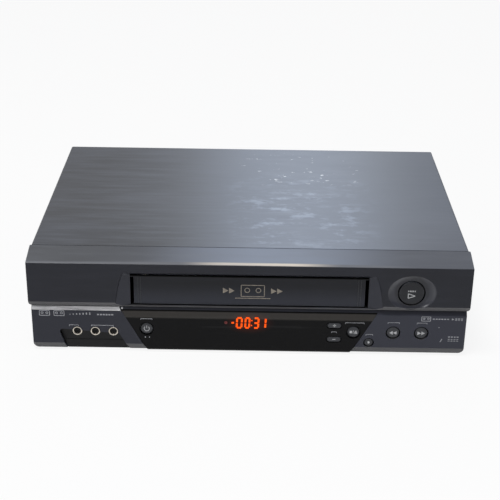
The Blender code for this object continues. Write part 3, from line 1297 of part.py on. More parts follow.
def pinch_arm():
    """The arm on the deck's pin that swings the pinch roller to the capstan."""
    pivot = Vector((PINCH_PIVOT_AT[0], behind(PINCH_PIVOT_AT[1])))
    tip = pinch_rest_place()
    along = (tip - pivot).normalized()
    across = Vector((-along.y, along.x)) * PINCH_ARM_HALF
    top = PINCH_PIN_TOP
    under = top - PINCH_ARM_THICKNESS
    corners = [pivot - across, tip - across, tip + across, pivot + across]
    arm = prism("pinch_arm", [tuple(corner) for corner in corners], "Z", under, top)
    hub = rod("hub", PINCH_HUB_RADIUS, DECK_TOP + SEAT_GAP, top, (pivot.x, pivot.y, 0))
    head = rod("head", PINCH_ARM_HALF, under, top, (tip.x, tip.y, 0), sides=ROUND_SIDES // 2)
    axle = rod("axle", PINCH_AXLE_RADIUS, PINCH_ROLLER_FOOT, under + PINCH_ARM_THICKNESS / 2,
               (tip.x, tip.y, 0), sides=ROUND_SIDES // 2)
    join(arm, hub, head, axle)
    bore = PINCH_PIN_RADIUS + RUNNING_GAP
    cut(arm, rod("bore", bore, DECK_TOP - OVERRUN, top + OVERRUN, (pivot.x, pivot.y, 0)))
    return finished(arm, STEEL, 0.4, 1.0, origin=(pivot.x, pivot.y, under))


def pinch_roller():
    """The rubber roller under the end of the pinch arm."""
    tip = pinch_rest_place()
    top = PINCH_PIN_TOP - PINCH_ARM_THICKNESS - RUNNING_GAP
    bore = PINCH_AXLE_RADIUS + RUNNING_GAP
    profile = [(bore, PINCH_ROLLER_FOOT), (PINCH_ROLLER_RADIUS, PINCH_ROLLER_FOOT), (PINCH_ROLLER_RADIUS, top),
               (bore, top)]
    roller = turned("pinch_roller", profile, (tip.x, tip.y, 0), ring=True)
    return finished(roller, DARK_RUBBER, 0.8, origin=(tip.x, tip.y, PINCH_ROLLER_FOOT))


def tape_head(name, at):
    """A fixed tape head on the deck, a block with a rounded face towards the tape."""
    x, y = at[0], behind(at[1])
    z_span = (DECK_TOP + SEAT_GAP, HEAD_TOP)
    block = box(name, about(x, HEAD_HALF), (y, y + HEAD_HALF), z_span)
    join(block, rod("face", HEAD_HALF * HEAD_FACE_SHARE, *z_span, (x, y + HEAD_HALF / 4, 0), sides=ROUND_SIDES // 2))
    return finished(block, SILVER, 0.25, 1.0)


# Loading gear train and guide poles
CAM_THICKNESS = 0.0050
CAM_HUB_RADIUS = 0.0070
LOADING_MOTOR_RADIUS = 0.0090
LOADING_MOTOR_HEIGHT = 0.0115
MOTOR_BORE_DEPTH = 0.0040
POLE_BASE_RADIUS = 0.0050
POLE_BASE_HEIGHT = 0.0045
POLE_RADIUS = 0.0028
POLE_TOP = 0.0500


def gear_outline(centre, teeth, radius, first_tooth):
    """The corners of a spur gear with straight-sided teeth, with a tooth at the first angle."""
    pitch = math.tau / teeth
    root, tip = radius - GEAR_DEDENDUM, radius + GEAR_ADDENDUM
    points = []
    for tooth in range(teeth):
        middle = first_tooth + pitch * tooth
        for reach, share in ((root, -TOOTH_ROOT_SHARE), (tip, -TOOTH_TIP_SHARE),
                             (tip, TOOTH_TIP_SHARE), (root, TOOTH_ROOT_SHARE)):
            angle = middle + pitch * share / 2
            points.append((centre[0] + reach * math.cos(angle), centre[1] + reach * math.sin(angle)))
    return points


def cam_gear():
    """The large gear whose half turn threads the tape."""
    centre = (CAM_AT[0], behind(CAM_AT[1]))
    z_span = (DECK_TOP + SEAT_GAP, DECK_TOP + SEAT_GAP + CAM_THICKNESS)
    gear = prism("cam_gear", gear_outline(centre, CAM_TEETH, CAM_RADIUS, math.pi / 2), "Z", *z_span)
    bore = circle(centre, CAM_PIN_RADIUS + RUNNING_GAP)
    cut(gear, prism("bore", bore, "Z", z_span[0] - OVERRUN, z_span[1] + OVERRUN))
    return finished(gear, IVORY_PLASTIC, 0.5, origin=(*centre, z_span[0]))


def motor_pinion():
    """The loading motor's shaft, up through the deck, and the small gear on it."""
    centre = (CAM_AT[0], behind(PINION_BEHIND))
    z_span = (DECK_TOP + SEAT_GAP, DECK_TOP + SEAT_GAP + CAM_THICKNESS)
    first = -math.pi / 2 + math.pi / PINION_TEETH
    gear = prism("motor_pinion", gear_outline(centre, PINION_TEETH, PINION_RADIUS, first), "Z", *z_span)
    foot = DECK_UNDERSIDE - SEAT_GAP - MOTOR_BORE_DEPTH + RUNNING_GAP
    join(gear, rod("shaft", MOTOR_SHAFT_RADIUS, foot, z_span[0] + CAM_THICKNESS / 2, (*centre, 0),
                   sides=ROUND_SIDES // 2))
    return finished(gear, SILVER, 0.4, 1.0, origin=(*centre, z_span[0]))


def loading_motor():
    """The small motor under the deck that turns the loading gears."""
    top = DECK_UNDERSIDE - SEAT_GAP
    centre = (CAM_AT[0], behind(PINION_BEHIND), 0)
    motor = rod("loading_motor", LOADING_MOTOR_RADIUS, top - LOADING_MOTOR_HEIGHT, top, centre)
    bore = MOTOR_SHAFT_RADIUS + RUNNING_GAP
    cut(motor, rod("bore", bore, top - MOTOR_BORE_DEPTH, top + OVERRUN, centre, sides=ROUND_SIDES // 2))
    return finished(motor, STEEL, 0.35, 1.0)


def guide_pole(name, side):
    """A pole that draws the tape back round the drum, on a base that rides along a slot in the deck."""
    start = pole_path(side)[0]
    base = DECK_TOP + SEAT_GAP
    shoulder = base + POLE_BASE_HEIGHT
    foot = DECK_UNDERSIDE - SEAT_GAP
    profile = [(0, foot), (POLE_PIN_RADIUS, foot), (POLE_PIN_RADIUS, base), (POLE_BASE_RADIUS, base),
               (POLE_BASE_RADIUS, shoulder), (POLE_RADIUS, shoulder), (POLE_RADIUS, POLE_TOP), (0, POLE_TOP)]
    pole = turned(name, profile, (start.x, start.y, 0), sides=ROUND_SIDES)
    return finished(pole, SILVER, 0.25, 1.0, origin=(start.x, start.y, base))


def build_recorder():
    """Make every piece of the recorder."""
    clear_scene()
    top_cover()
    base_chassis()
    bottom_cover()
    rear_panel()
    front_panel()
    trim_strip()
    display_window()
    feet = (("foot_front_left", -1, FOOT_FRONT), ("foot_front_right", 1, FOOT_FRONT),
            ("foot_rear_left", -1, FOOT_BACK), ("foot_rear_right", 1, FOOT_BACK))
    for name, side, depth in feet:
        foot(name, side, depth)
    for number, (side, depth) in enumerate(screw_places(), 1):
        cover_screw(f"cover_screw_{number}", side, depth)
    front_board()
    display_module()
    front_socket_block()
    for number, x in enumerate(socket_places(), 1):
        front_socket(f"front_socket_{number}", x)
    for name, at, radius in ROUND_BUTTONS:
        round_button(name, at, radius)
    round_button("play_button", PLAY_AT, PLAY_RADIUS)
    for name, at in OVAL_BUTTONS:
        oval_button(name, at)
    cassette_flap()
    main_board()
    power_transformer()
    heat_sink()
    filter_capacitor()
    rear_socket_block()
    tuner_unit()
    cord_gland()
    deck_plate()
    side_frame("side_frame_left", -1)
    side_frame("side_frame_right", 1)
    top_bridge()
    cassette_holder()
    carriage("carriage_left", -1)
    carriage("carriage_right", 1)
    reel_table("supply_reel_table", -1)
    reel_table("takeup_reel_table", 1)
    lower_drum()
    upper_drum()
    capstan_base()
    capstan_rotor()
    pinch_arm()
    pinch_roller()
    tape_head("erase_head", ERASE_HEAD_AT)
    tape_head("sound_head", SOUND_HEAD_AT)
    cam_gear()
    motor_pinion()
    loading_motor()
    guide_pole("guide_pole_left", -1)
    guide_pole("guide_pole_right", 1)
    for item in bpy.data.objects:
        item.location.z += STAND_HEIGHT


build_recorder()
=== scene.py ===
# %% [markdown]
# # A video cassette recorder, dressed for its picture
#
# The construction model holds the recorder's real pieces, sizes and joints. This lesson loads it as a fixed
# frame and works on the looks only. Pieces that show up close are modelled again with soft edges and fine
# details. Pieces inside the case keep their solids and get a better finish. Everything is in metres: the
# front looks towards -Y, the top towards +Z, and the recorder stands on the plane z = 0.

# %% Load the frame
import json
import math

import bmesh
import bpy
from mathutils import Matrix, Vector


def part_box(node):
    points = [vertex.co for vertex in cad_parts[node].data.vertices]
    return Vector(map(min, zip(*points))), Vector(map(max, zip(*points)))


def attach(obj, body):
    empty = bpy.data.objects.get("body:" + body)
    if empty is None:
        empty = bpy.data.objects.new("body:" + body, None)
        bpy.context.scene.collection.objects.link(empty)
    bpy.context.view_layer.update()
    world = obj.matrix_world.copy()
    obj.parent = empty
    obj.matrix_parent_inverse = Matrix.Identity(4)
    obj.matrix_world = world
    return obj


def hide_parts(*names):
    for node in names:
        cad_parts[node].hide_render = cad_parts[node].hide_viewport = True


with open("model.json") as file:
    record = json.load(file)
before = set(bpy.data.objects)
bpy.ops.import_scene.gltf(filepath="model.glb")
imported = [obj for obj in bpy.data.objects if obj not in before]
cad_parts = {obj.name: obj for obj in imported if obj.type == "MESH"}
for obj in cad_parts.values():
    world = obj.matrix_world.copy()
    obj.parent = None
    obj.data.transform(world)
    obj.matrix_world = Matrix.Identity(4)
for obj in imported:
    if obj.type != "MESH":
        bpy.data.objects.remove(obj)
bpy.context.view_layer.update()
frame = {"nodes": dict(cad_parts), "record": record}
MM = 0.001
HALF_DEPTH = 0.145
LIFT = 0.0025

# %% [markdown]
# ## The camera
#
# The photographer stood about a metre away and looked down a little on the recorder. Fitting straight edges
# of the cover and the front gives the lens, the height, the downward tilt and a small roll. The matrix is
# built from two turns, because that keeps the tilt and the roll as two plain numbers.

# %% Place the camera
CAMERA_PLACE = Vector((-0.0001, -1.0917, 0.5484))
CAMERA_TILT = math.radians(25.05)
CAMERA_ROLL = math.radians(0.88)
CAMERA_LENS = 85.1

scene = bpy.context.scene
camera_data = bpy.data.cameras.new("camera")
camera_data.lens = CAMERA_LENS
camera_data.sensor_width = 36
camera = bpy.data.objects.new("camera", camera_data)
scene.collection.objects.link(camera)
tilt = Matrix.Rotation(math.pi / 2 - CAMERA_TILT, 4, "X")
roll = Matrix.Rotation(CAMERA_ROLL, 4, "Z")
camera.matrix_world = Matrix.Translation(CAMERA_PLACE) @ tilt @ roll
scene.camera = camera
scene.view_settings.view_transform = "Standard"
print("camera at", tuple(round(value, 3) for value in CAMERA_PLACE))

# %% [markdown]
# ## Shader sums as Python sums
#
# A material is a graph of nodes, and a long graph is hard to read when every link is a line of its own. So
# one small class wraps an output socket and gives it Python's operators: `1 - mask * 0.5` then adds the Math
# nodes by itself. Any other node comes from one method, which takes the kind of node, its settings and its
# inputs.


# %% Wrap a socket
class Wire:
    """An output socket of a material, which can be used in sums."""

    def __init__(self, finish, socket):
        self.finish = finish
        self.socket = socket

    def math(self, operation, first, second=None):
        settings = {"operation": operation}
        values = [first] if second is None else [first, second]
        return self.finish.node("ShaderNodeMath", settings, *values)

    def __add__(self, other):
        return self.math("ADD", self, other)

    __radd__ = __add__

    def __sub__(self, other):
        return self.math("SUBTRACT", self, other)

    def __rsub__(self, other):
        return self.math("SUBTRACT", other, self)

    def __mul__(self, other):
        return self.math("MULTIPLY", self, other)

    def __truediv__(self, other):
        return self.math("DIVIDE", self, other)

    def __pow__(self, other):
        return self.math("POWER", self, other)

    def size(self):
        return self.math("ABSOLUTE", self)

    def larger(self, other):
        return self.math("MAXIMUM", self, other)

    def between(self, low, high, to_low=0.0, to_high=1.0, smooth=True):
        """Stretch the span from low to high onto another span, and stop at its ends."""
        settings = {"interpolation_type": "SMOOTHSTEP" if smooth else "LINEAR"}
        return self.finish.node("ShaderNodeMapRange", settings, self, low, high, to_low, to_high)

    def near(self, middle, inner, outer):
        """One up to the inner distance from a middle, falling to zero at the outer distance."""
        return 1 - (self - middle).size().between(inner, outer)


# %% A finish and its nodes
class Finish:
    """A material built from a Principled BSDF and whatever feeds it."""

    def __init__(self, name, colour, roughness, metallic=0.0, **constants):
        self.material = bpy.data.materials.new(name)
        self.material.use_nodes = True
        self.tree = self.material.node_tree
        self.shader = self.tree.nodes["Principled BSDF"]
        self.give(Base_Color=colour, Roughness=roughness, Metallic=metallic, **constants)
        self.place = self.node("ShaderNodeTexCoord", out="Object")

    def give(self, **inputs):
        """Feed inputs of the shader by name."""
        for socket, value in inputs.items():
            self.set(self.shader, socket, value)

    def set(self, node, socket, value):
        """Link a wire to a socket, or write a plain value into it."""
        target = node.inputs[socket.replace("_", " ") if isinstance(socket, str) else socket]
        if isinstance(value, Wire):
            self.tree.links.new(value.socket, target)
        elif hasattr(target.default_value, "__len__") and len(value) == 3 and len(target.default_value) == 4:
            target.default_value = (*value, 1.0)
        else:
            target.default_value = value

    def node(self, kind, settings=None, *values, out=0, **named):
        """Add a node, apply its settings, feed its sockets by place or by name, and return one output."""
        made = self.tree.nodes.new(kind)
        for key, value in (settings or {}).items():
            setattr(made, key, value)
        for socket, value in [*enumerate(values), *named.items()]:
            self.set(made, socket, value)
        return Wire(self, made.outputs[out])

    def stretched(self, x, y, z):
        """The place on the object with each axis scaled, which draws a pattern out along the smaller ones."""
        return self.node("ShaderNodeMapping", {}, self.place, Scale=(x, y, z))

    def noise(self, scale, detail=2.0, roughness=0.5, place=None):
        return self.node("ShaderNodeTexNoise", {}, Vector=place or self.place, Scale=scale, Detail=detail,
                         Roughness=roughness)

    def axis(self, name):
        return self.node("ShaderNodeSeparateXYZ", {}, self.place, out=name)

    def facing(self, name):
        """One part of the direction that the surface faces, in the object's own axes."""
        normal = self.node("ShaderNodeTexCoord", out="Normal")
        return self.node("ShaderNodeSeparateXYZ", {}, normal, out=name)

    def blend(self, share, first, second):
        """Mix two colours by a share between 0 and 1."""
        made = self.tree.nodes.new("ShaderNodeMix")
        made.data_type = "RGBA"
        for socket, value in ((0, share), (6, first), (7, second)):
            self.set(made, socket, value)
        return Wire(self, made.outputs[2])

    def layers(self, first, *over):
        """Lay colours over a first one, each by its own share."""
        for share, colour in over:
            first = self.blend(share, first, colour)
        return first

    def bump(self, height, strength, depth):
        self.give(Normal=self.node("ShaderNodeBump", {}, Strength=strength, Distance=depth, Height=height))

    def colour(self, value):
        self.give(Base_Color=value)

    def roughness(self, value):
        self.give(Roughness=value)


def toned(colour, share):
    """A colour made darker or lighter by one share."""
    return tuple(value * share for value in colour)


print("socket sums are ready")

# %% [markdown]
# ## The painted cover
#
# The cover is folded steel sheet with a satin grey paint. Years of wiping have left faint streaks from side
# to side, and things slid across it have left pale rubs and a few small white specks right of the middle. The
# streaks are noise drawn out along X. The rubs are a patch mask times a broken noise, so that they fade at
# their edges. The grey is also painted lighter and bluer towards the right and darker at both front corners,
# with a pale blue column right of the middle: that is painted light and a painted reflection.


# %% Cover paint
def cover_paint():
    """Satin grey paint with wiping streaks, pale rubs and specks, and painted light and a painted reflection
    on it.
    """
    finish = Finish("cover_paint", (0.07, 0.075, 0.085), 0.36, 0.0, Specular_IOR_Level=0.5)
    along, back = finish.axis("X"), finish.axis("Y")
    streaks = finish.noise(60, 5, 0.65, finish.stretched(0.25, 3.2, 1))
    clouds = finish.noise(7, 3, 0.6, finish.stretched(0.6, 1.5, 1))
    front_left = (1 - back.between(-0.12, -0.02)) * (1 - along.between(-0.14, 0.03))
    front_right = (1 - back.between(-0.12, -0.03)) * along.between(0.09, 0.17)
    area = along.near(0.048, 0.02975, 0.085) * back.near(-0.035, 0.046, 0.115)
    broken = finish.noise(52, 6, 0.66, finish.stretched(0.75, 1.1, 1)).between(0.50, 0.63)
    patches = finish.noise(21, 2, 0.5, finish.stretched(0.8, 1, 1)).between(0.38, 0.52, 0.2, 1.0)
    strokes = finish.noise(130, 3, 0.6, finish.stretched(0.30, 1.3, 1)).between(0.50, 0.66)
    rubs = area * patches * (broken * 0.8 + strokes * 0.3)
    spots = finish.noise(150, 3, 0.6, finish.stretched(0.7, 1.5, 1)).between(0.655, 0.695)
    specks = spots * along.near(0.055, 0.0375, 0.075) * back.near(0.080, 0.022, 0.055)
    finish.colour(finish.layers(
        (0.072, 0.074, 0.080),
        # Painted light: lighter and bluer towards the right, darker at the front left and the front right.
        (along.between(-0.17, 0.08), (0.116, 0.130, 0.160)),
        (front_left * 0.75, (0.045, 0.045, 0.047)),
        (front_right * 0.5, (0.078, 0.083, 0.100)),
        (streaks.between(0.35, 0.75) * 0.30, (0.17, 0.185, 0.22)),
        (clouds.between(0.40, 0.75) * 0.28, (0.15, 0.165, 0.20)),
        # Painted reflection: a pale blue column right of the middle.
        (along.near(0.040, 0.018, 0.120) * 0.30, (0.140, 0.178, 0.265)),
        (rubs * 0.60, (0.28, 0.335, 0.44)),
        (specks * 0.85, (0.75, 0.78, 0.84))))
    finish.roughness(0.36 - rubs * 0.03 + streaks.between(0.3, 0.8) * 0.05)
    peel = finish.noise(900, 2, 0.5)
    finish.bump(peel, 0.10, 0.00006)
    return finish.material


# %% [markdown]
# ## The moulded front
#
# The front is dark blue-grey plastic with a fine spark-eroded grain, which blurs every reflection a little.
# The top slope and the other faces that look up are painted lighter, as light from above would make them, and
# the brow in front of it carries a painted bright highlight line. Faces that look sideways, the flap's ribs
# and the dish's rim are painted lighter too, and so are faces that look down along the lip, as light bounced
# up from the floor would make them. The slot's inside and the shade under the flap's pins are painted black,
# because hardly any light comes back out of them. One finish serves the shell, the flap and the PLAY cap:
# only the shell's own has the dish and the slot.


# %% Front plastic
RIB_PLACES = (0.0983, 0.1006)
DISH_PLACE = (0.1464, 0.0628)
DISH_HALVES = (0.0218, 0.0174)
BROW_HALF, BROW_BOW = 0.17, 0.0004
UNLIT = (0.0022, 0.0022, 0.0024)


def face_grey(finish, base, low, foot_tone, handling, streaks):
    """The upright faces, smeared by hands. The lower face is paler, and so is the flap towards its foot."""
    along, height = finish.axis("X"), finish.axis("Z")
    low_part = (1 - height.between(0.040, 0.047)) * along.between(-0.20, 0.20, 0.45, 1.0)
    grey = finish.layers(
        toned(base, low),
        (handling.between(0.35, 0.7) * 0.45, toned(base, 1.34)),
        (streaks.between(0.42, 0.72) * 0.22, toned(base, 1.7)),
        (low_part, toned(base, 2.05)))
    if foot_tone != 1.0:
        grey = finish.blend(1 - height.between(0.0490, 0.0720), grey, toned(base, foot_tone))
        for place in RIB_PLACES:
            # Painted highlight: a light line down each rib, as the rib's edges would catch the light.
            rib_highlight = along.size().near(place, 0.0001, 0.0005)
            grey = finish.blend(rib_highlight * 0.55, grey, (0.062, 0.064, 0.068))
    return grey


def lit_slope_grey(finish, handling, streaks):
    """Painted light on the faces that look up: lighter and bluer towards the right, a painted blue sheen in
    the middle of the top slope, and dimmer, mottled painted light on the low ledges by the slot.
    """
    along, height = finish.axis("X"), finish.axis("Z")
    # Painted light, dimmer and mottled, on the low ledges by the slot, which lie in the overhang's shade.
    ledge_light = (1 - height.between(0.055, 0.060)) * handling.between(0.3, 0.6, 0.75, 1.0)
    return finish.layers(
        (0.0912, 0.0938, 0.1003),
        (along.between(-0.20, 0.02), (0.106, 0.113, 0.132)),
        (along.near(0.022, 0.013, 0.130) * 0.75, (0.27, 0.31, 0.39)),
        (streaks.between(0.35, 0.75) * 0.25, (0.18, 0.195, 0.22)),
        (ledge_light, (0.062, 0.061, 0.064)))


def front_plastic(name, base, low=0.80, foot_tone=1.0, dished=False):
    """Dark grained plastic, painted lighter where it faces up, down or sideways, with a painted highlight
    line along the brow.
    """
    finish = Finish(name, base, 0.42, 0.0, Specular_IOR_Level=0.24)
    along, height = finish.axis("X"), finish.axis("Z")
    level = height - (1 - (along / BROW_HALF) ** 2).larger(0.0) * BROW_BOW
    handling = finish.noise(24, 4, 0.6, finish.stretched(0.5, 1, 1.6))
    streaks = finish.noise(90, 4, 0.6, finish.stretched(0.14, 1, 1.8))
    grey = face_grey(finish, base, low, foot_tone, handling, streaks)

    # Painted light: faces that look sideways, such as the facets, are painted lighter, as side light would
    # show them.
    sideways = finish.facing("X").size()
    lit_slant = sideways.between(0.12, 0.20) * (1 - sideways.between(0.55, 0.75))
    grey = finish.blend(lit_slant * 0.7, grey, toned(base, 1.7))
    coat = lit_slant * 0.10
    if dished:
        across = (along - DISH_PLACE[0]) / DISH_HALVES[0]
        over = (height - DISH_PLACE[1] - LIFT) / DISH_HALVES[1]
        far = across ** 2 + over ** 2
        dish = 1 - far.between(1.0, 1.04)
        # Painted highlight: the dish's rim is painted lighter at its upper left and its right, where its
        # slope would catch the light.
        caught = (over * 0.7 - across * 0.7).between(0.45, 0.95).larger(across.between(0.65, 1.0) * 0.7)
        rim_highlight = dish * far.between(0.50, 0.72) * (1 - far.between(0.86, 1.0)) * caught
        grey = finish.blend(rim_highlight * 0.5, grey, (0.105, 0.108, 0.118))
        coat = coat + dish * 0.30

    over_brow = (1 - height.between(0.0840, 0.0860)).larger(level.between(0.0897, 0.0901))
    # Painted light: faces that look up, except on the upper face below the brow, take the lit grey of the
    # slope.
    up = finish.facing("Z").between(0.55, 0.95) * over_brow
    grey = finish.blend(up, grey, lit_slope_grey(finish, handling, streaks))
    # Painted light: faces that look down, low on the lip and the foot, are painted lighter, standing in for
    # light bounced up from the floor.
    down = (0 - finish.facing("Z")).between(0.25, 0.45) * (1 - height.between(0.0516, 0.0530))
    under = finish.blend(streaks.between(0.3, 0.7), (0.088, 0.088, 0.092), (0.112, 0.112, 0.117))
    grey = finish.blend(down, grey, under)

    # Painted highlight: a bright warm line along the brow, brightest a little right of the middle, standing
    # in for the light the rounded edge catches.
    brow_highlight = level.between(0.0897, 0.0901) * (1 - level.between(0.0906, 0.0909))
    brow_highlight = brow_highlight * (1 - along.between(0.10, 0.16))
    line = finish.blend(along.near(0.010, 0.02625, 0.075), (0.15, 0.155, 0.17), (0.66, 0.60, 0.52))
    grey = finish.blend(brow_highlight * streaks.between(0.2, 0.6, 0.55, 1.0), grey, line)
    if dished:
        glint = along.near(-0.1157, 0.0003, 0.0012) * height.near(0.0438, 0.0004, 0.0014)
        grey = finish.blend(glint, grey, (0.75, 0.75, 0.76))
        inside = finish.axis("Y").between(-0.1407, -0.1401) * height.between(0.0455, 0.0465)
        shade = inside * (1 - height.between(0.0800, 0.0806)) * (1 - along.size().between(0.1130, 0.1140))
    else:
        shade = height.between(0.0757, 0.0763)
    finish.colour(finish.blend(shade, grey, UNLIT))
    finish.give(Coat_Weight=coat, Coat_Roughness=0.16)
    finish.roughness(handling.between(0.3, 0.75, 0.33, 0.44).larger(shade * 0.95))
    finish.bump(finish.noise(1500, 2, 0.6), 0.12, 0.00005)
    return finish.material


# %% [markdown]
# ## Gloss black, chrome and the small plastics
#
# The display window is smooth smoked acrylic. It hides the board behind it, so it is made nearly black, with
# a polished surface that shows only faint dust, and a red halo round the lit figures. The silver of the trim
# strip is a painted reflection. Buttons are the same family of plastic as the front, but finer.


# %% Window, buttons and trim
def window_gloss():
    """Nearly black acrylic with a painted brownish sheen on its leaning top, painted shade along its top
    edge, faint dust and hairlines.
    """
    finish = Finish("window_gloss", (0.010, 0.010, 0.011), 0.10, 0.0, Specular_IOR_Level=0.10)
    height = finish.axis("Z")
    # Painted sheen: the leaning top face is painted a lighter brown, standing in for the light that it
    # catches.
    sheen_band = height.between(0.0343, 0.0363)
    edge = height.between(0.0414, 0.0420)
    dust = finish.noise(420, 5, 0.7).between(0.56, 0.74)
    hair = finish.noise(150, 3, 0.5, finish.stretched(0.06, 1, 1.5)).between(0.60, 0.70)
    finish.colour(finish.layers((0.0048, 0.0048, 0.0053), (sheen_band, (0.042, 0.039, 0.036)),
                                (dust * 0.03 + hair * 0.03, (0.20, 0.20, 0.20)), (edge, UNLIT)))
    across, up = (finish.axis("X") - 0.0003) / 0.0250, (height - 0.0315) / 0.0125
    far = (across ** 2 + up ** 2) ** 0.5
    halo = (1 - far.between(0.25, 1.0)) * finish.noise(90, 2, 0.5).between(0.2, 0.8, 0.7, 1.0)
    finish.give(Emission_Color=finish.blend(halo, (0, 0, 0), (0.075, 0.010, 0.002)), Emission_Strength=0.5)
    finish.roughness(0.10 + dust * 0.08 + sheen_band * 0.22 + edge * 0.4)
    return finish.material


def button_plastic():
    """Satin grey plastic, polished on the crown by fingers."""
    colour = (0.036, 0.038, 0.043)
    finish = Finish("button_plastic", colour, 0.34, 0.0, Specular_IOR_Level=0.35)
    wear = finish.noise(240, 3, 0.6)
    finish.colour(finish.blend(wear.between(0.35, 0.75) * 0.5, colour, toned(colour, 1.5)))
    finish.roughness(wear.between(0.3, 0.7, 0.28, 0.42))
    finish.bump(finish.noise(2600, 1, 0.5), 0.06, 0.00003)
    return finish.material


def painted_reflection_trim():
    """A pale strip whose silver is a painted reflection, with a fine brushed line along it and dulled
    patches.
    """
    # Painted reflection: the pale silver stands in for the light that this chamfer catches.
    finish = Finish("painted_reflection_trim", (0.44, 0.44, 0.45), 0.32, 0.55)
    brushed = finish.noise(420, 4, 0.6, finish.stretched(0.05, 1, 1))
    patches = finish.noise(46, 3, 0.6)
    silver = finish.blend(patches.between(0.3, 0.7), (0.36, 0.36, 0.37), (0.56, 0.56, 0.57))
    finish.colour(finish.blend(brushed.between(0.35, 0.7) * 0.35, silver, (0.80, 0.80, 0.80)))
    finish.roughness(brushed.between(0.3, 0.7, 0.22, 0.40))
    return finish.material


def socket_plating():
    """The pale warm plating of a socket's shell, with fine turning marks and tarnish."""
    finish = Finish("socket_plating", (0.66, 0.61, 0.54), 0.24, 0.9)
    tarnish = finish.noise(700, 3, 0.6)
    finish.colour(finish.blend(tarnish.between(0.4, 0.7) * 0.5, (0.74, 0.69, 0.61), (0.42, 0.35, 0.28)))
    finish.roughness(tarnish.between(0.3, 0.7, 0.16, 0.34))
    return finish.material


print("front finishes are ready")

# %% [markdown]
# ## Metals, boards, rubber and the plastics inside
#
# The back, the underside and the tape deck are zinc-plated steel sheet, whose crystals show as a faint
# spangle. A Voronoi pattern makes them: each cell gets its own grey. Machined parts have fine rings round an
# upright axis, circuit boards have copper tracks under green lacquer, and rubber is matt with a little dust.


# %% Inside finishes
def zinc_sheet():
    """Zinc-plated steel with a faint spangle and rolling lines."""
    tone = (0.46, 0.47, 0.46)
    finish = Finish("zinc_sheet", tone, 0.38, 0.85)
    cells = finish.node("ShaderNodeTexVoronoi", {}, Vector=finish.place, Scale=170.0, out="Color")
    spangle = finish.node("ShaderNodeRGBToBW", {}, cells)
    rolled = finish.noise(260, 3, 0.6, finish.stretched(0.06, 1, 1))
    metal = finish.blend(spangle.between(0.15, 0.85), toned(tone, 0.90), toned(tone, 1.12))
    finish.colour(finish.blend(rolled.between(0.4, 0.7) * 0.25, metal, toned(tone, 1.35)))
    finish.roughness(spangle.between(0.1, 0.9, 0.30, 0.46))
    finish.bump(rolled, 0.08, 0.00004)
    return finish.material


def bright_metal():
    """Machined metal with fine turning lines and a slow variation of gloss."""
    tone = (0.66, 0.66, 0.67)
    finish = Finish("bright_metal", tone, 0.22, 1.0)
    lines = finish.noise(500, 3, 0.6, finish.stretched(0.3, 0.3, 6))
    slow = finish.noise(30, 2, 0.5)
    finish.colour(finish.blend(lines.between(0.3, 0.7), toned(tone, 0.86), tone))
    finish.roughness(slow.between(0.3, 0.7, 0.16, 0.28))
    finish.bump(lines, 0.08, 0.00003)
    return finish.material


def circuit_board():
    """Green lacquer over copper tracks, with pads and printed dots."""
    finish = Finish("circuit_board", (0.035, 0.16, 0.06), 0.36, 0.0, Specular_IOR_Level=0.5)
    tracks = finish.node("ShaderNodeTexBrick", {"offset": 0.37}, Vector=finish.place, Scale=95.0,
                         Mortar_Size=0.11, out="Fac")
    pads = finish.node("ShaderNodeTexVoronoi", {}, Vector=finish.place, Scale=230.0, out="Distance")
    dots = 1 - pads.between(0.16, 0.22)
    green = finish.blend(tracks * 0.7, (0.020, 0.105, 0.040), (0.055, 0.235, 0.085))
    finish.colour(finish.blend(dots * 0.8, green, (0.52, 0.50, 0.42)))
    finish.roughness(0.38 - dots * 0.12)
    finish.bump(tracks * 0.6 + dots, 0.2, 0.0001)
    return finish.material


def moulded_plastic(name, colour, grain=0.10):
    """Plain moulded plastic with a fine grain and a slow change of tone."""
    finish = Finish(name, colour, 0.48, 0.0, Specular_IOR_Level=0.25)
    slow = finish.noise(22, 3, 0.6)
    fine = finish.noise(1300, 2, 0.6)
    finish.colour(finish.blend(slow.between(0.3, 0.7), toned(colour, 0.86), toned(colour, 1.12)))
    finish.roughness(slow.between(0.3, 0.7, 0.40, 0.55))
    finish.bump(fine, grain, 0.00006)
    return finish.material


def black_rubber():
    """Matt rubber, greyed a little by dust."""
    finish = Finish("black_rubber", (0.022, 0.022, 0.023), 0.82)
    dust = finish.noise(160, 5, 0.7)
    finish.colour(finish.blend(dust.between(0.45, 0.75) * 0.5, (0.018, 0.018, 0.019), (0.075, 0.073, 0.070)))
    finish.roughness(dust.between(0.3, 0.7, 0.72, 0.92))
    finish.bump(dust, 0.15, 0.0001)
    return finish.material


# %% Make the finishes
COVER = cover_paint()
FRONT = front_plastic("front_plastic", (0.0176, 0.0188, 0.0258), low=0.85, dished=True)
FLAP = front_plastic("flap_plastic", (0.0098, 0.0107, 0.0146), foot_tone=2.8)
PLAY_CAP = front_plastic("play_plastic", (0.0205, 0.0215, 0.0255))
WINDOW = window_gloss()
BUTTON = button_plastic()
REFLECTION_TRIM = painted_reflection_trim()
PLATING = socket_plating()
ZINC = zinc_sheet()
MACHINED = bright_metal()
BOARD = circuit_board()
IVORY = moulded_plastic("ivory_plastic", (0.60, 0.58, 0.50))
BLACK = moulded_plastic("black_plastic", (0.020, 0.021, 0.022))
DARK = moulded_plastic("dark_insulator", (0.0065, 0.0065, 0.0075), 0.05)
RUBBER = black_rubber()
FINISH_OF_SLOT = {
    "panel_plastic": FRONT, "cover_paint": COVER, "window_plastic": WINDOW, "trim_silver": REFLECTION_TRIM,
    "button_plastic": BUTTON, "socket_metal": PLATING, "black_plastic": BLACK, "display_glass": WINDOW,
    "rubber": RUBBER, "steel_sheet": ZINC, "bright_metal": MACHINED, "ivory_plastic": IVORY, "board": BOARD,
    "can_sleeve": BLACK,
}
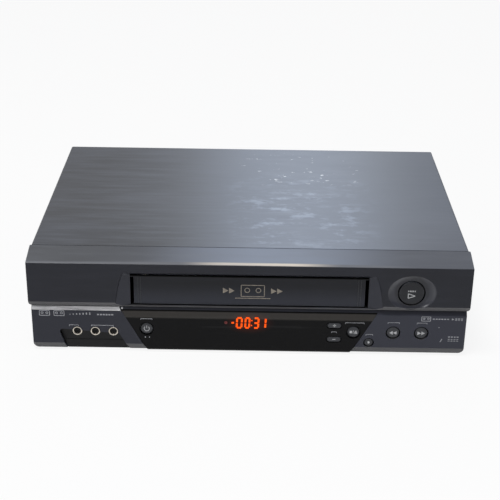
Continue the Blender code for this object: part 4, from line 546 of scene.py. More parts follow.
SLOT_OF = {subpart["node"]: subpart["material_slot"] for subpart in frame["record"]["subparts"]}
BODY_OF = {node: body for body, nodes in frame["record"]["behaviour"]["bodies"].items() for node in nodes}
for node, slot in SLOT_OF.items():
    solid = frame["nodes"][node].data
    solid.materials.clear()
    solid.materials.append(FINISH_OF_SLOT[slot])
print("finishes:", len(FINISH_OF_SLOT))

# %% [markdown]
# ## Building pieces in mesh code
#
# Moulded and folded pieces are drawn as outlines, rounded at their corners, and pushed out along an axis.
# Turned pieces are profiles swept round an axis. Holes and slots are cut with exact booleans, and a small
# bevel then rounds the sharp edges that are left, because real edges always catch a line of light.
#
# Outlines are drawn with the foot of the front at a height of zero. Each piece is then lifted to the height
# that the rubber feet give it.


# %% Mesh tools
def behind(distance):
    """The y of a place this far behind the front face."""
    return distance - HALF_DEPTH


def rounded(points, radius, steps=4):
    """An outline whose corners are replaced by arcs. A list of radii gives each corner its own."""
    radii = radius if isinstance(radius, (list, tuple)) else [radius] * len(points)
    outline = []
    for index, (point, size) in enumerate(zip(points, radii)):
        here = Vector(point)
        before, after = Vector(points[index - 1]) - here, Vector(points[(index + 1) % len(points)]) - here
        if size <= 0:
            outline.append(tuple(here))
            continue
        half = before.angle(after) / 2
        reach = min(size / math.tan(half), before.length * 0.48, after.length * 0.48)
        first, last = here + before.normalized() * reach, here + after.normalized() * reach
        middle = here + (before.normalized() + after.normalized()).normalized() * (reach / math.cos(half))
        start, end = first - middle, last - middle
        turn = start.angle_signed(end)
        for step in range(steps + 1):
            bend = Matrix.Rotation(-turn * step / steps, 2)
            outline.append(tuple(middle + bend @ start))
    return outline


def rectangle(x, z):
    """The corners of a rectangle between two pairs of limits."""
    return [(x[0], z[0]), (x[1], z[0]), (x[1], z[1]), (x[0], z[1])]


def side_view(points, radii=0, steps=4):
    """An outline seen from the side, from (distance behind the front face, height) points."""
    return rounded([(behind(depth), z) for depth, z in points], radii, steps)


def loft(bm, rings):
    """Skin a stack of rings of points, with a lid at each end."""
    stack = [[bm.verts.new(point) for point in ring] for ring in rings]
    bm.faces.new(stack[0])
    bm.faces.new(stack[-1])
    for near, far in zip(stack, stack[1:]):
        for index in range(len(near)):
            after = (index + 1) % len(near)
            bm.faces.new((near[index], near[after], far[after], far[index]))
    bmesh.ops.recalc_face_normals(bm, faces=bm.faces)


def prism(outline, axis, low, high):
    """Push an outline out along an axis: (y, z) points for X, (x, z) for Y and (x, y) for Z."""
    place = {"X": lambda a, b, c: (c, a, b), "Y": lambda a, b, c: (a, c, b),
             "Z": lambda a, b, c: (a, b, c)}[axis]
    bm = bmesh.new()
    loft(bm, [[place(a, b, end) for a, b in outline] for end in (low, high)])
    return bm


def bar(outline, front, back):
    """Push an (x, z) outline back from one distance behind the front face to another."""
    return prism(outline, "Y", behind(front), behind(back))


def block(x, y, z):
    """A box between three pairs of limits."""
    return prism(rectangle(x, y), "Z", *z)


def slab(x, depths, z):
    """A box between three pairs of limits, the middle pair being distances behind the front face."""
    return block(x, [behind(depth) for depth in depths], z)


def turned(profile, centre, axis="Z", sides=48, closed=False):
    """Sweep (radius, distance along the axis) points round an axis through a centre."""
    bm = bmesh.new()
    verts = [bm.verts.new((radius, 0, along)) for radius, along in profile]
    edges = [bm.edges.new(pair) for pair in zip(verts, verts[1:])]
    if closed:
        edges.append(bm.edges.new((verts[-1], verts[0])))
    bmesh.ops.spin(bm, geom=verts + edges, axis=(0, 0, 1), cent=(0, 0, 0), angle=math.tau, steps=sides,
                   use_merge=True)
    bmesh.ops.remove_doubles(bm, verts=bm.verts, dist=1e-7)
    turn = {"X": Matrix.Rotation(math.pi / 2, 4, "Y"), "Y": Matrix.Rotation(-math.pi / 2, 4, "X"),
            "Z": Matrix.Identity(4)}[axis]
    bm.transform(Matrix.Translation(centre) @ turn)
    bmesh.ops.recalc_face_normals(bm, faces=bm.faces)
    return bm


def turned_at(at, profile, sides, closed=False):
    """Sweep (radius, distance behind the front face) points round an axis that runs straight back."""
    return turned(profile, (at[0], behind(0), at[1]), "Y", sides, closed)


def circle(centre, radius, sides=48):
    """The corners of a circle."""
    turns = [math.tau * step / sides for step in range(sides)]
    return [(centre[0] + radius * math.cos(t), centre[1] + radius * math.sin(t)) for t in turns]


def rod(at, radius, front, back, sides=48):
    """A round bar that runs straight back from a place on the front."""
    return bar(circle(at, radius, sides), front, back)


def limits(node):
    """The box of a node as three pairs of limits, before the lift."""
    low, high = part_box(node)
    return (low[0], high[0]), (low[1], high[1]), (low[2] - LIFT, high[2] - LIFT)


def thing_from(name, bm):
    """Turn a bmesh into an object of the scene, lifted to where the recorder stands on its feet."""
    mesh = bpy.data.meshes.new(name)
    bm.transform(Matrix.Translation((0, 0, LIFT)))
    bm.to_mesh(mesh)
    bm.free()
    thing = bpy.data.objects.new(name, mesh)
    scene.collection.objects.link(thing)
    return thing


def settle(thing):
    """Replace the mesh of a piece by what its modifiers make of it."""
    result = bpy.data.meshes.new_from_object(thing.evaluated_get(bpy.context.evaluated_depsgraph_get()))
    thing.modifiers.clear()
    thing.data = result


def boolean(thing, operation, *others):
    """Cut or join meshes with exact booleans, and keep only the result."""
    for other in others:
        tool = thing_from("tool", other) if isinstance(other, bmesh.types.BMesh) else other
        modifier = thing.modifiers.new("boolean", "BOOLEAN")
        modifier.operation = operation
        modifier.solver = "EXACT"
        modifier.object = tool
        settle(thing)
        bpy.data.objects.remove(tool, do_unlink=True)


def cut(thing, *tools):
    boolean(thing, "DIFFERENCE", *tools)


def join(thing, *additions):
    boolean(thing, "UNION", *additions)


def dress(thing, look, body="chassis", slot=None, bevel=0.0, segments=2, sharp=34, limit=34):
    """Give a piece its finish, soft edges and shading, and say which body carries it."""
    thing.data.materials.clear()
    thing.data.materials.append(look)
    if bevel:
        modifier = thing.modifiers.new("soft_edges", "BEVEL")
        modifier.width = bevel
        modifier.segments = segments
        modifier.limit_method = "ANGLE"
        modifier.angle_limit = math.radians(limit)
        modifier.use_clamp_overlap = True
        modifier.harden_normals = False
        settle(thing)
    thing.data.shade_smooth()
    thing.data.set_sharp_from_angle(angle=math.radians(sharp))
    modifier = thing.modifiers.new("even_normals", "WEIGHTED_NORMAL")
    modifier.keep_sharp = True
    modifier.weight = 60
    settle(thing)
    thing.data.name = thing.name
    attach(thing, body)


def stand_in(thing, node, look=None, **edges):
    """Dress a piece that takes the place of a node's solid: it has that node's body and finish."""
    slot = SLOT_OF[node]
    dress(thing, look or FINISH_OF_SLOT[slot], BODY_OF[node], slot, **edges)
    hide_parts(node)


print("mesh tools are ready")

# %% [markdown]
# ## The front shell
#
# The shell is one moulding: a lower face with a chamfer along its top and its foot, a groove, and an upper
# face that hangs out over the groove with a slanted lip. Its top slopes back up to the cover. It is drawn as
# one side view and pushed out across the whole width. The brow gets a generous radius, because that edge
# carries the brightest line.

# %% Shell
HALF_WIDTH, LOWER_HALF, HOLLOW_HALF = 0.200, 0.198, 0.1956
LIP_Z = 0.0438
AHEAD, BELOW, SHELL_BACK, PANEL_BACK = -0.002, -0.002, 0.0250, 0.0270
WALL_THROUGH = (AHEAD, 0.0064)
UPPER_WALL, LOWER_WALL = 0.0024, 0.0044
FACE_DEPTH = 0.0020
SLOT_HALF, SLOT_FOOT, SLOT_TOP = 0.1077, 0.0448, 0.0761
BACKING_HALF, BACKING_BACK = 0.1267, 0.0084
PLAY = (0.1462, 0.0618)
ROUND_BUTTONS = {
    "power_button": ((-0.09353, 0.0214), 0.0056), "stop_eject_button": ((0.09564, 0.0209), 0.0056),
    "record_button": ((0.11013, 0.0103), 0.0039), "rewind_button": ((0.13197, 0.0209), 0.0058),
    "forward_button": ((0.15778, 0.0209), 0.0058), "play_button": (PLAY, 0.0114),
}
CHANNELS = {"channel_up_button": (0.07804, 0.0275), "channel_down_button": (0.07804, 0.0133)}
SOCKETS = [(-0.1572, 0.0180), (-0.1407, 0.0180), (-0.1242, 0.0180)]
SOCKET_HOLE = 0.0048
SCOOP = [(-0.1743, 0.0205), (-0.1668, -0.0030), (-0.1082, -0.0030), (-0.1187, 0.0161)]
WINDOW_FOOT, WINDOW_TOP, WINDOW_HIGH = 0.0931, 0.1170, 0.0408
GAP, PLAY_GAP = 0.0010, 0.0012

shell_view = side_view(
    [(SHELL_BACK, -0.0010), (0.0050, -0.0010), (FACE_DEPTH, 0.0056), (FACE_DEPTH, 0.0390), (0.0045, 0.0428),
     (0.0060, 0.0428), (0.0060, LIP_Z), (0.0030, LIP_Z), (0.0000, 0.0488), (0.0000, 0.0872), (0.0006, 0.0878),
     (SHELL_BACK, 0.0936)],
    [0, 0.0008, 0.0010, 0.0005, 0.0004, 0, 0, 0.0004, 0.0007, 0.0007, 0.0010, 0], 5)
shell = thing_from("front_shell", prism(shell_view, "X", -HALF_WIDTH, HALF_WIDTH))
hollow_view = side_view(
    [(PANEL_BACK, 0.0024), (LOWER_WALL, 0.0024), (LOWER_WALL, 0.0383), (0.0084, 0.0421), (0.0084, 0.0457),
     (UPPER_WALL, 0.0507), (UPPER_WALL, 0.0848), (SHELL_BACK, 0.0912), (PANEL_BACK, 0.0912)])
cut(shell, prism(hollow_view, "X", -HOLLOW_HALF, HOLLOW_HALF))
for side in (-1, 1):
    cut(shell, slab(sorted((side * LOWER_HALF, side * 0.202)), (AHEAD, PANEL_BACK), (BELOW, LIP_Z)))
backing = (-BACKING_HALF, BACKING_HALF)
join(shell, slab(backing, (0.0012, BACKING_BACK), (0.0478, 0.0835)),
     slab(backing, (0.0031, BACKING_BACK), (0.0440, 0.0490)), rod(PLAY, 0.0162, 0.0012, 0.0048))


# %% [markdown]
# ## Slot, facets and dish
#
# The slot opens towards the front between two slanting facets. Seen from the front, each facet's outer edge
# is an arc: it leaves the slot's top corner flat and turns down to the lip. The PLAY button sits in a shallow
# oval dish, which is nearly flat in the middle and climbs steeply at its rim, and that rim catches the light.


# %% Cuts in the shell
def facet_funnel():
    """The funnel in front of the slot, with a curved outer edge on each side."""
    top, steps, arc = SLOT_TOP + 0.0030, 10, []
    for step in range(steps + 1):
        turn = math.pi / 2 * step / steps
        share = 0.6 * math.sin(turn) + 0.4 * (1 - math.cos(turn))
        arc.append((SLOT_HALF + 0.0045 + 0.0100 * share, top - (top - SLOT_FOOT) * (1 - math.cos(turn))))
    mouth = arc + [(-x, z) for x, z in reversed(arc)]
    rings = []
    for depth, inward in ((AHEAD, 0), (-0.0001, 0), (0.0010, 0.08), (0.0041, 1)):
        ends = [(math.copysign(SLOT_HALF, x), min(z, SLOT_TOP)) for x, z in mouth]
        rings.append([(x + (end_x - x) * inward, behind(depth), z + (end_z - z) * inward)
                      for (x, z), (end_x, end_z) in zip(mouth, ends)])
    bm = bmesh.new()
    loft(bm, rings)
    bmesh.ops.remove_doubles(bm, verts=bm.verts, dist=1e-6)
    bmesh.ops.recalc_face_normals(bm, faces=bm.faces)
    return bm


def dish_cut():
    """The oval dish: a swept profile, stretched to the dish's two half sizes."""
    deepest = 0.0026
    shares = [1 - (1 - step / 14) ** 1.5 for step in range(15)]
    profile = [(share, deepest * (1 - share ** 5)) for share in shares] + [(1.0, AHEAD), (0, AHEAD)]
    bm = turned(profile, (0, 0, 0), "Y", 72)
    stretch = Matrix.Diagonal((DISH_HALVES[0], 1, DISH_HALVES[1], 1))
    bm.transform(Matrix.Translation((DISH_PLACE[0], behind(0), DISH_PLACE[1])) @ stretch)
    bmesh.ops.recalc_face_normals(bm, faces=bm.faces)
    return bm


cut(shell, facet_funnel(), slab((-SLOT_HALF, SLOT_HALF), (AHEAD, 0.0110), (SLOT_FOOT, SLOT_TOP)), dish_cut())
window_hole = [(-WINDOW_FOOT, BELOW), (WINDOW_FOOT, BELOW), (WINDOW_TOP, WINDOW_HIGH),
               (-WINDOW_TOP, WINDOW_HIGH)]
cut(shell, bar(window_hole, *WALL_THROUGH), bar(rounded(SCOOP, [0.0028, 0, 0, 0.0008]), *WALL_THROUGH))
for at in SOCKETS:
    cut(shell, rod(at, SOCKET_HOLE, *WALL_THROUGH))
upper_view = rectangle((-HALF_WIDTH, HALF_WIDTH), (LIP_Z, 0.0940))
lower_view = rectangle((-LOWER_HALF, LOWER_HALF), (-0.0010, 0.0460))
corners = thing_from("corners", bar(rounded(upper_view, [0.0030, 0.0030, 0.0012, 0.0012], 5), AHEAD, 0.030))
join(corners, bar(rounded(lower_view, [0.0055, 0.0055, 0, 0], 7), AHEAD, 0.030))
boolean(shell, "INTERSECT", corners)
for name in ("record_button", "rewind_button", "forward_button", "play_button"):
    at, radius = ROUND_BUTTONS[name]
    gap = PLAY_GAP if name == "play_button" else GAP
    cut(shell, rod(at, radius + gap, AHEAD, 0.0068, 56))
stand_in(shell, "front_panel", bevel=0.00022, sharp=24, limit=40)
print("shell faces:", len(shell.data.polygons))

# %% [markdown]
# ## The cassette flap
#
# The flap is a thin moulded door that hangs from two pins. Its face has two fine upright ribs near each end
# and a shallow raised rim at its foot. The ribs stand only 0.4 mm proud, but they break up the reflection the
# way the real ones do. It turns inwards, so it rides on the flap's body.

# %% Flap
FLAP_DEPTH, FLAP_HALF, FLAP_FOOT, FLAP_TOP = 0.0046, 0.1045, 0.0460, 0.0745
RIB_HALF, RIB_FRONT, RIM_FRONT = 0.00025, 0.0042, 0.0043
PIN_RADIUS, PIN_END = 0.00085, 0.1099
flap_view = side_view([(FLAP_DEPTH, FLAP_FOOT), (0.0064, FLAP_FOOT), (0.0066, 0.0700), (0.0066, FLAP_TOP),
                       (FLAP_DEPTH, FLAP_TOP)], [0.0005, 0.0004, 0, 0.0009, 0.0009])
flap = thing_from("flap_door", prism(flap_view, "X", -FLAP_HALF, FLAP_HALF))
for x in [side * place for side in (-1, 1) for place in RIB_PLACES]:
    join(flap, slab((x - RIB_HALF, x + RIB_HALF), (RIB_FRONT, 0.0050), (0.0470, 0.0738)))
pin = [(0, -PIN_END), (PIN_RADIUS, -PIN_END), (PIN_RADIUS, PIN_END), (0, PIN_END)]
join(flap, slab((-0.0978, 0.0978), (RIM_FRONT, 0.0050), (0.0463, 0.0468)),
     turned(pin, (0, behind(0.0056), 0.0735), "X", 20))
stand_in(flap, "cassette_flap", FLAP, bevel=0.00010, segments=1)

# %% [markdown]
# ## Window and its buttons' holes
#
# The window is a dark acrylic trapezium in the lower face. Its top edge leans back, and that leaning face is
# painted a lighter brown above the display, a painted sheen for the light it catches. Holes let the buttons
# through, and a faint red glow surrounds the figures.


# %% Window
def oval(at, half_length, radius, steps=12):
    """A lying oval with round ends."""
    turns = [math.pi * step / steps - math.pi / 2 for step in range(steps + 1)]
    reach = half_length - radius
    right = [(at[0] + reach + radius * math.cos(t), at[1] + radius * math.sin(t)) for t in turns]
    return right + [(2 * at[0] - x, 2 * at[1] - z) for x, z in right]


PANE_HALF, PANE_THROUGH = 0.1175, (0.001, 0.006)
window_view = side_view([(0.0042, -0.0007), (0.0030, -0.0007), (FACE_DEPTH, 0.0010), (FACE_DEPTH, 0.0335),
                         (0.0032, 0.0406), (0.0042, 0.0406)], [0, 0.0004, 0.0006, 0.0010, 0.0004, 0], 3)
window = thing_from("display_cover", prism(window_view, "X", -PANE_HALF, PANE_HALF))
beside = [(-WINDOW_FOOT + 0.0002, -0.001), (-WINDOW_TOP - 0.0010, 0.0420), (-0.13, 0.0420), (-0.13, -0.001)]
for mirror in (1, -1):
    cut(window, bar([(x * mirror, z) for x, z in beside], *PANE_THROUGH))
for name in ("power_button", "stop_eject_button"):
    at, radius = ROUND_BUTTONS[name]
    cut(window, rod(at, radius + GAP, *PANE_THROUGH, 56))
for at in CHANNELS.values():
    cut(window, bar(oval(at, 0.0070, 0.0032), *PANE_THROUGH))
stand_in(window, "display_window", bevel=0.00018)

# %% [markdown]
# ## Prints and figures
#
# Everything printed on the front is a very thin raised shape, 0.05 to 0.09 mm proud, so it shows from any
# side and needs no image. The signs are the common ones that any recorder uses: triangles, a square, a dot,
# plus and minus. Where the set had words or names there are only brackets, dashes and pictograms. The display
# shows plain figures.


# %% Thin shapes
def stroke(start, end, width):
    """A straight line of some width, as a four-cornered outline."""
    a, b = Vector(start), Vector(end)
    side = (b - a).orthogonal().normalized() * width / 2
    return [tuple(a + side), tuple(b + side), tuple(b - side), tuple(a - side)]


def path(points, width, closed=False):
    """Strokes along a line of points."""
    ends = points[1:] + ([points[0]] if closed else [])
    return [stroke(a, b, width) for a, b in zip(points, ends)]


def moved(outlines, at, scale=1.0):
    """Outlines scaled and moved to a place on the front."""
    return [[(at[0] + x * scale, at[1] + z * scale) for x, z in outline] for outline in outlines]


def flat(depth):
    """An upright surface at one distance behind the front face."""
    return lambda x, z: depth


def thin_shapes(name, outlines, surface, look, body="chassis", proud=0.00005, slot=None):
    """Raise flat outlines a hair above a surface, whose depth is given for each (x, z)."""
    bm = bmesh.new()
    for outline in outlines:
        loft(bm, [[(x, behind(surface(x, z) + step), z) for x, z in outline] for step in (-proud, 0.0001)])
    dress(thing_from(name, bm), look, body, slot)


def ring_of(radius, width, start=0, turn=360, steps=28):
    """A ring or an arc, as short strokes."""
    angles = [math.radians(start + turn * step / steps) for step in range(steps + 1)]
    return path([(radius * math.cos(a), radius * math.sin(a)) for a in angles], width)


TRIANGLE = [(-0.45, -0.5), (-0.45, 0.5), (0.45, 0.0)]
SQUARE = rectangle((-0.4, 0.4), (-0.4, 0.4))
UP = [(-0.5, -0.35), (0.5, -0.35), (0.0, 0.45)]


def printed(name, tone):
    """Screen-printed ink: matt, and a little unevenly laid."""
    finish = Finish(name, tone, 0.6)
    uneven = finish.noise(900, 3, 0.6)
    finish.colour(finish.blend(uneven.between(0.35, 0.7), toned(tone, 0.62), tone))
    finish.roughness(uneven.between(0.3, 0.7, 0.5, 0.7))
    return finish.material


def lit_segment():
    """A glowing figure, whose orange is a little deeper in some places."""
    finish = Finish("lit_segment", (0.05, 0.006, 0.001), 0.6, 0.0, Specular_IOR_Level=0.05)
    flicker = finish.noise(600, 2, 0.5)
    glow = finish.blend(flicker.between(0.35, 0.7), (1.0, 0.075, 0.004), (1.0, 0.125, 0.008))
    finish.give(Emission_Color=glow, Emission_Strength=1.25)
    return finish.material


PRINT = printed("printed_white", (0.62, 0.63, 0.64))
FAINT = printed("printed_grey", (0.45, 0.46, 0.49))
WARM = printed("printed_sand", (0.34, 0.30, 0.245))
DIM = printed("dim_red", (0.16, 0.012, 0.010))
LIT = lit_segment()

# %% Display figures
SEGMENTS = {
    "a": ((0.06, 1.0), (0.94, 1.0)), "g": ((0.06, 0.5), (0.94, 0.5)), "d": ((0.06, 0.0), (0.94, 0.0)),
    "f": ((0.0, 0.55), (0.0, 0.95)), "b": ((1.0, 0.55), (1.0, 0.95)),
    "e": ((0.0, 0.05), (0.0, 0.45)), "c": ((1.0, 0.05), (1.0, 0.45)),
}
FIGURES = {"0": "abcdef", "3": "abgcd", "1": "bc", "-": "g"}
FIGURE_FOOT, FIGURE_HIGH, FIGURE_LEAN, FIGURE_LINE = 0.0240, 0.0100, 0.0005, 0.0017
SHOWN = (("-", -0.0164, 0.0026), ("0", -0.0113, 0.0044), ("0", -0.0035, 0.0036), ("3", 0.0045, 0.0038),
         ("1", 0.0104, 0.0044))


def figure(sign, left, width):
    """The strokes of a seven-segment figure, leaning a little to the right."""
    strokes = []
    for key in FIGURES[sign]:
        a, b = [(left + x * width + z * FIGURE_LEAN, FIGURE_FOOT + z * FIGURE_HIGH) for x, z in SEGMENTS[key]]
        strokes.append(stroke(a, b, FIGURE_LINE))
    return strokes


figures = [outline for sign, left, width in SHOWN for outline in figure(sign, left, width)]
figures += [circle((0.0023, 0.0265), 0.0007, 10), circle((0.0026, 0.0315), 0.0007, 10)]
waiting = [circle((-0.0211, 0.0290), 0.0015, 12)]
for name, outlines, look in (("waiting_dot", waiting, DIM), ("display_figures", figures, LIT)):
    thin_shapes(name, outlines, flat(FACE_DEPTH), look, proud=0.00006, slot="display_glass")
print("figures:", len(figures))

# %% [markdown]
# ## Buttons
#
# Each button is a turned cap with a rounded edge and a slight crown, on a flange that stops it behind the
# panel, and a stem that presses its switch. The round caps stand a little back in their holes, apart from
# PLAY. The prints on a cap follow its crown, because their points are set back by the same curve. Every cap
# and its print ride on that button's own body, so they move in together. The signs are drawn in millimetres.

# %% Round buttons
SET_BACK, CROWN_RISE = 0.0007, 0.00025
STEM_RADIUS, FLANGE_THICK, FLANGE_WIDE = 0.0018, 0.0010, 0.0026
power_ring = moved(ring_of(1.0, 0.26, 130, 280, 20), (0, -0.2), 2.4)
arrows = moved([TRIANGLE], (1.9, -0.3), 3.7) + moved([TRIANGLE], (-1.7, -0.3), 3.7)
open_arrow = path([(-3.0, -4.9), (-3.0, -0.3), (3.2, -2.6)], 0.75, True)
SIGNS = {
    "power_button": power_ring + [stroke((0, 0.4), (0, 2.9), 0.6)],
    "stop_eject_button": moved([SQUARE], (-2.2, -0.1), 3.1) + moved([UP], (2.3, 0.4), 2.9)
    + [stroke((0.9, -1.5), (3.7, -1.5), 0.75), stroke((-0.2, -1.6), (0.3, 1.8), 0.35)],
    "record_button": [circle((0, 0), 1.15, 20)],
    "rewind_button": [[(-x, z) for x, z in outline] for outline in arrows],
    "forward_button": arrows,
    "play_button": open_arrow + [stroke((x, 1.5), (x, 2.9), 0.8) for x in (-3.0, -1.5, 0, 1.5, 3.0)],
}


def depths(node):
    """How far behind the front face the solid of a node starts and ends."""
    return [y + HALF_DEPTH for y in limits(node)[1]]


def crown(radius, x, z):
    """How far a point of a cap lies behind its middle."""
    return CROWN_RISE * min((x * x + z * z) / (radius * radius), 1.0)


def round_button(name, sign):
    """A turned cap with its sign."""
    at, radius = ROUND_BUTTONS[name]
    is_play = name == "play_button"
    front, back = depths(name)
    front += 0 if is_play else SET_BACK
    edge, steps = min(0.0009, radius * 0.16), 6
    profile = [(radius * share, front + crown(radius, radius * share, 0)) for share in (0, 0.3, 0.6, 0.8)]
    shoulder = front + crown(radius, radius - edge, 0)
    for step in range(steps + 1):
        turn = math.pi / 2 * step / steps
        profile.append((radius - edge + edge * math.sin(turn), shoulder + edge * (1 - math.cos(turn))))
    flange = min(0.0070 if is_play else 0.0066, back - 0.003)
    wide = radius + FLANGE_WIDE
    profile += [(radius, flange), (wide, flange), (wide, flange + FLANGE_THICK),
                (STEM_RADIUS, flange + FLANGE_THICK), (STEM_RADIUS, back), (0, back)]
    cap = thing_from(name + "_cap", turned_at(at, profile, 56))
    stand_in(cap, name, PLAY_CAP if is_play else BUTTON)

    def surface(x, z):
        return front + crown(radius, x - at[0], z - at[1])

    thin_shapes(name + "_sign", moved(sign, at, MM), surface, PRINT, name, 0.00009)


for name, sign in SIGNS.items():
    round_button(name, sign)

# %% Channel buttons
PLUS = [stroke((-1.5, 0), (1.5, 0), 0.7), stroke((0, -1.4), (0, 1.4), 0.7)]


def channel_button(name, sign):
    """An oval cap with a plus or a minus."""
    at = CHANNELS[name]
    front, back = depths(name)
    cap = thing_from(name + "_cap", bar(oval(at, 0.0062, 0.0024), front, 0.0062))
    join(cap, bar(oval(at, 0.0073, 0.0035), 0.0058, 0.0068), rod(at, 0.0015, 0.0060, back, 20))
    stand_in(cap, name, bevel=0.00035, segments=3)
    thin_shapes(name + "_sign", moved(sign, at, MM), flat(front), PRINT, name)


channel_button("channel_up_button", PLUS)
channel_button("channel_down_button", PLUS[:1])
print("buttons:", len(SIGNS) + len(CHANNELS))

# %% [markdown]
# ## Trim, sockets and the scoop
#
# A bright strip covers the lower left chamfer and ends along the slant of the window. Its silver is a painted
# reflection of the light that this chamfer catches. The three sockets are plated tubes round a dark insulator
# with a blind hole, so the eye sees a thin pale ring with a black middle. They sit in a black recess, behind
# a hole in the shell that is cut on a slant at both ends.

# %% Trim strip
# The strip's silver colour is a painted reflection.
strip_view = side_view([(0.0026, 0.0393), (0.0018, 0.0395), (0.0038, 0.0428), (0.0050, 0.0428)],
                       [0, 0.0003, 0.0003, 0], 3)
strip = thing_from("painted_reflection_strip", prism(strip_view, "X", -0.1976, -0.1100))
strip_end = [(-0.1158, 0.0370), (-0.1190, 0.0450), (-0.1000, 0.0450), (-0.1000, 0.0370)]
cut(strip, bar(strip_end, AHEAD, 0.0100))
stand_in(strip, "trim_strip", bevel=0.00012, segments=1)

# %% Sockets
TUBE_FRONT, TUBE_RADIUS, TUBE_BORE, TUBE_EDGE, TUBE_HOLE = 0.0022, 0.0044, 0.0033, 0.0003, 0.0045
for number, at in enumerate(SOCKETS, 1):
    node = "front_socket_%d" % number
    back = depths(node)[1]
    tube = [(TUBE_BORE, back), (TUBE_BORE, TUBE_FRONT + TUBE_EDGE), (TUBE_BORE + TUBE_EDGE, TUBE_FRONT),
            (TUBE_RADIUS - TUBE_EDGE, TUBE_FRONT), (TUBE_RADIUS, TUBE_FRONT + TUBE_EDGE), (TUBE_RADIUS, back)]
    stand_in(thing_from("socket_tube_%d" % number, turned_at(at, tube, 40, True)), node)
    insulator = [(0, 0.0105), (0.0014, 0.0105), (0.0014, 0.0052), (0.0018, 0.0048), (0.00325, 0.0048),
                 (0.00325, back - 0.0004), (0, back - 0.0004)]
    inside = thing_from("socket_insulator_%d" % number, turned_at(at, insulator, 32))
    dress(inside, DARK, slot="black_plastic")

x, y, z = limits("front_socket_block")
recess = thing_from("socket_recess", block(x, y, z))
for at in SOCKETS:
    cut(recess, prism(circle(at, TUBE_HOLE, 40), "Y", y[0] - MM, y[1] + MM))
foot_view = rounded([(-0.1690, 0.0075), (-0.1667, -0.0008), (-0.1070, -0.0008), (-0.1090, 0.0075)], 0.0010, 3)
join(recess, bar(foot_view, 0.0056, 0.0063))
stand_in(recess, "front_socket_block", DARK, bevel=0.0003)
print("sockets:", len(SOCKETS))

# %% [markdown]
# ## Marks on the front
#
# Each label's place holds a fine bracket line of the same width. The places of the names hold a cassette,
# triangles, dashes and a row of plain steps. They keep the rhythm of the print without saying anything.


# %% Marks
def bracket(x, z, width):
    """A thin line with two short ends, as over a group of buttons."""
    left, right, foot = x - width / 2, x + width / 2, z - 0.0012
    return path([(left, foot), (left, z), (right, z), (right, foot)], 0.00045)


def cassette(x, z, width, line=0.0006):
    """The outline of a cassette with its two reels."""
    half, up = width / 2, width * 0.27
    outlines = path(rectangle((x - half, x + half), (z - up, z + up)), line, True)
    for side in (-1, 1):
        outlines += moved(ring_of(width * 0.105, line, steps=16), (x + side * half * 0.48, z + up * 0.1))
    return outlines


def dashes(left, height, count, thick=0.0010):
    """A row of short level strokes."""
    starts = [left + 0.0026 * step for step in range(count)]
    return [stroke((x, height), (x + 0.0018, height), thick) for x in starts]


marks = bracket(-0.0935, 0.0318, 0.0104) + bracket(0.0965, 0.0308, 0.0170) + bracket(0.0780, 0.0212, 0.0044)
marks += [circle((-0.0950, 0.0128), 0.0006, 10), circle((-0.0912, 0.0128), 0.0005, 10)]
thin_shapes("window_marks", marks, flat(FACE_DEPTH), FAINT, slot="window_plastic")

marks = bracket(0.1104, 0.0190, 0.0062) + bracket(0.1320, 0.0316, 0.0104) + bracket(0.1578, 0.0316, 0.0090)
marks += bracket(-0.1600, 0.0243, 0.0084) + bracket(-0.1340, 0.0243, 0.0200)
for step in range(7):
    x = -0.1630 + 0.0030 * step
    marks.append(stroke((x, 0.0350), (x, 0.0356 + 0.0003 * step), 0.0011))
for x, z, width in ((-0.1862, 0.0362, 0.0092), (-0.1730, 0.0362, 0.0092), (0.1612, 0.0359, 0.0080)):
    marks += cassette(x, z, width)
for left, height, count, thick in (
        (-0.1384, 0.0354, 6, 0.0014), (0.1672, 0.0359, 6, 0.0010), (0.1876, 0.0364, 3, 0.0010),
        (0.1876, 0.0350, 3, 0.0006), (0.1826, 0.0176, 4, 0.0010), (0.1826, 0.0152, 4, 0.0006),
        (0.1826, 0.0134, 4, 0.0006)):
    marks += dashes(left, height, count, thick)
marks += moved([TRIANGLE], (0.1856, 0.0359), 0.0022)
marks += [stroke((0.1756, 0.0122), (0.1771, 0.0154), 0.0008), circle((0.1735, 0.0272), 0.0005, 8)]
thin_shapes("panel_marks", marks, flat(FACE_DEPTH), FAINT, slot="panel_plastic")

marks = cassette(0.0030, 0.0605, 0.0210, 0.0007)
for x in (-0.0160, -0.0215, 0.0220, 0.0275):
    marks += moved([TRIANGLE], (x, 0.0605), 0.0056)
marks.append(stroke((-0.0130, 0.0530), (0.0190, 0.0530), 0.0007))
thin_shapes("flap_marks", marks, flat(FLAP_DEPTH), WARM, "flap", slot="panel_plastic")
print("marks are on")

# %% [markdown]
# ## The folded cover
#
# The cover is one sheet, 0.8 mm thick, folded down at both sides with an outer radius of 2 mm. Round folds
# matter in the picture: they carry the thin bright line between the top and the sides. Its screws are pan
# heads with a cross recess, cut with a boolean.

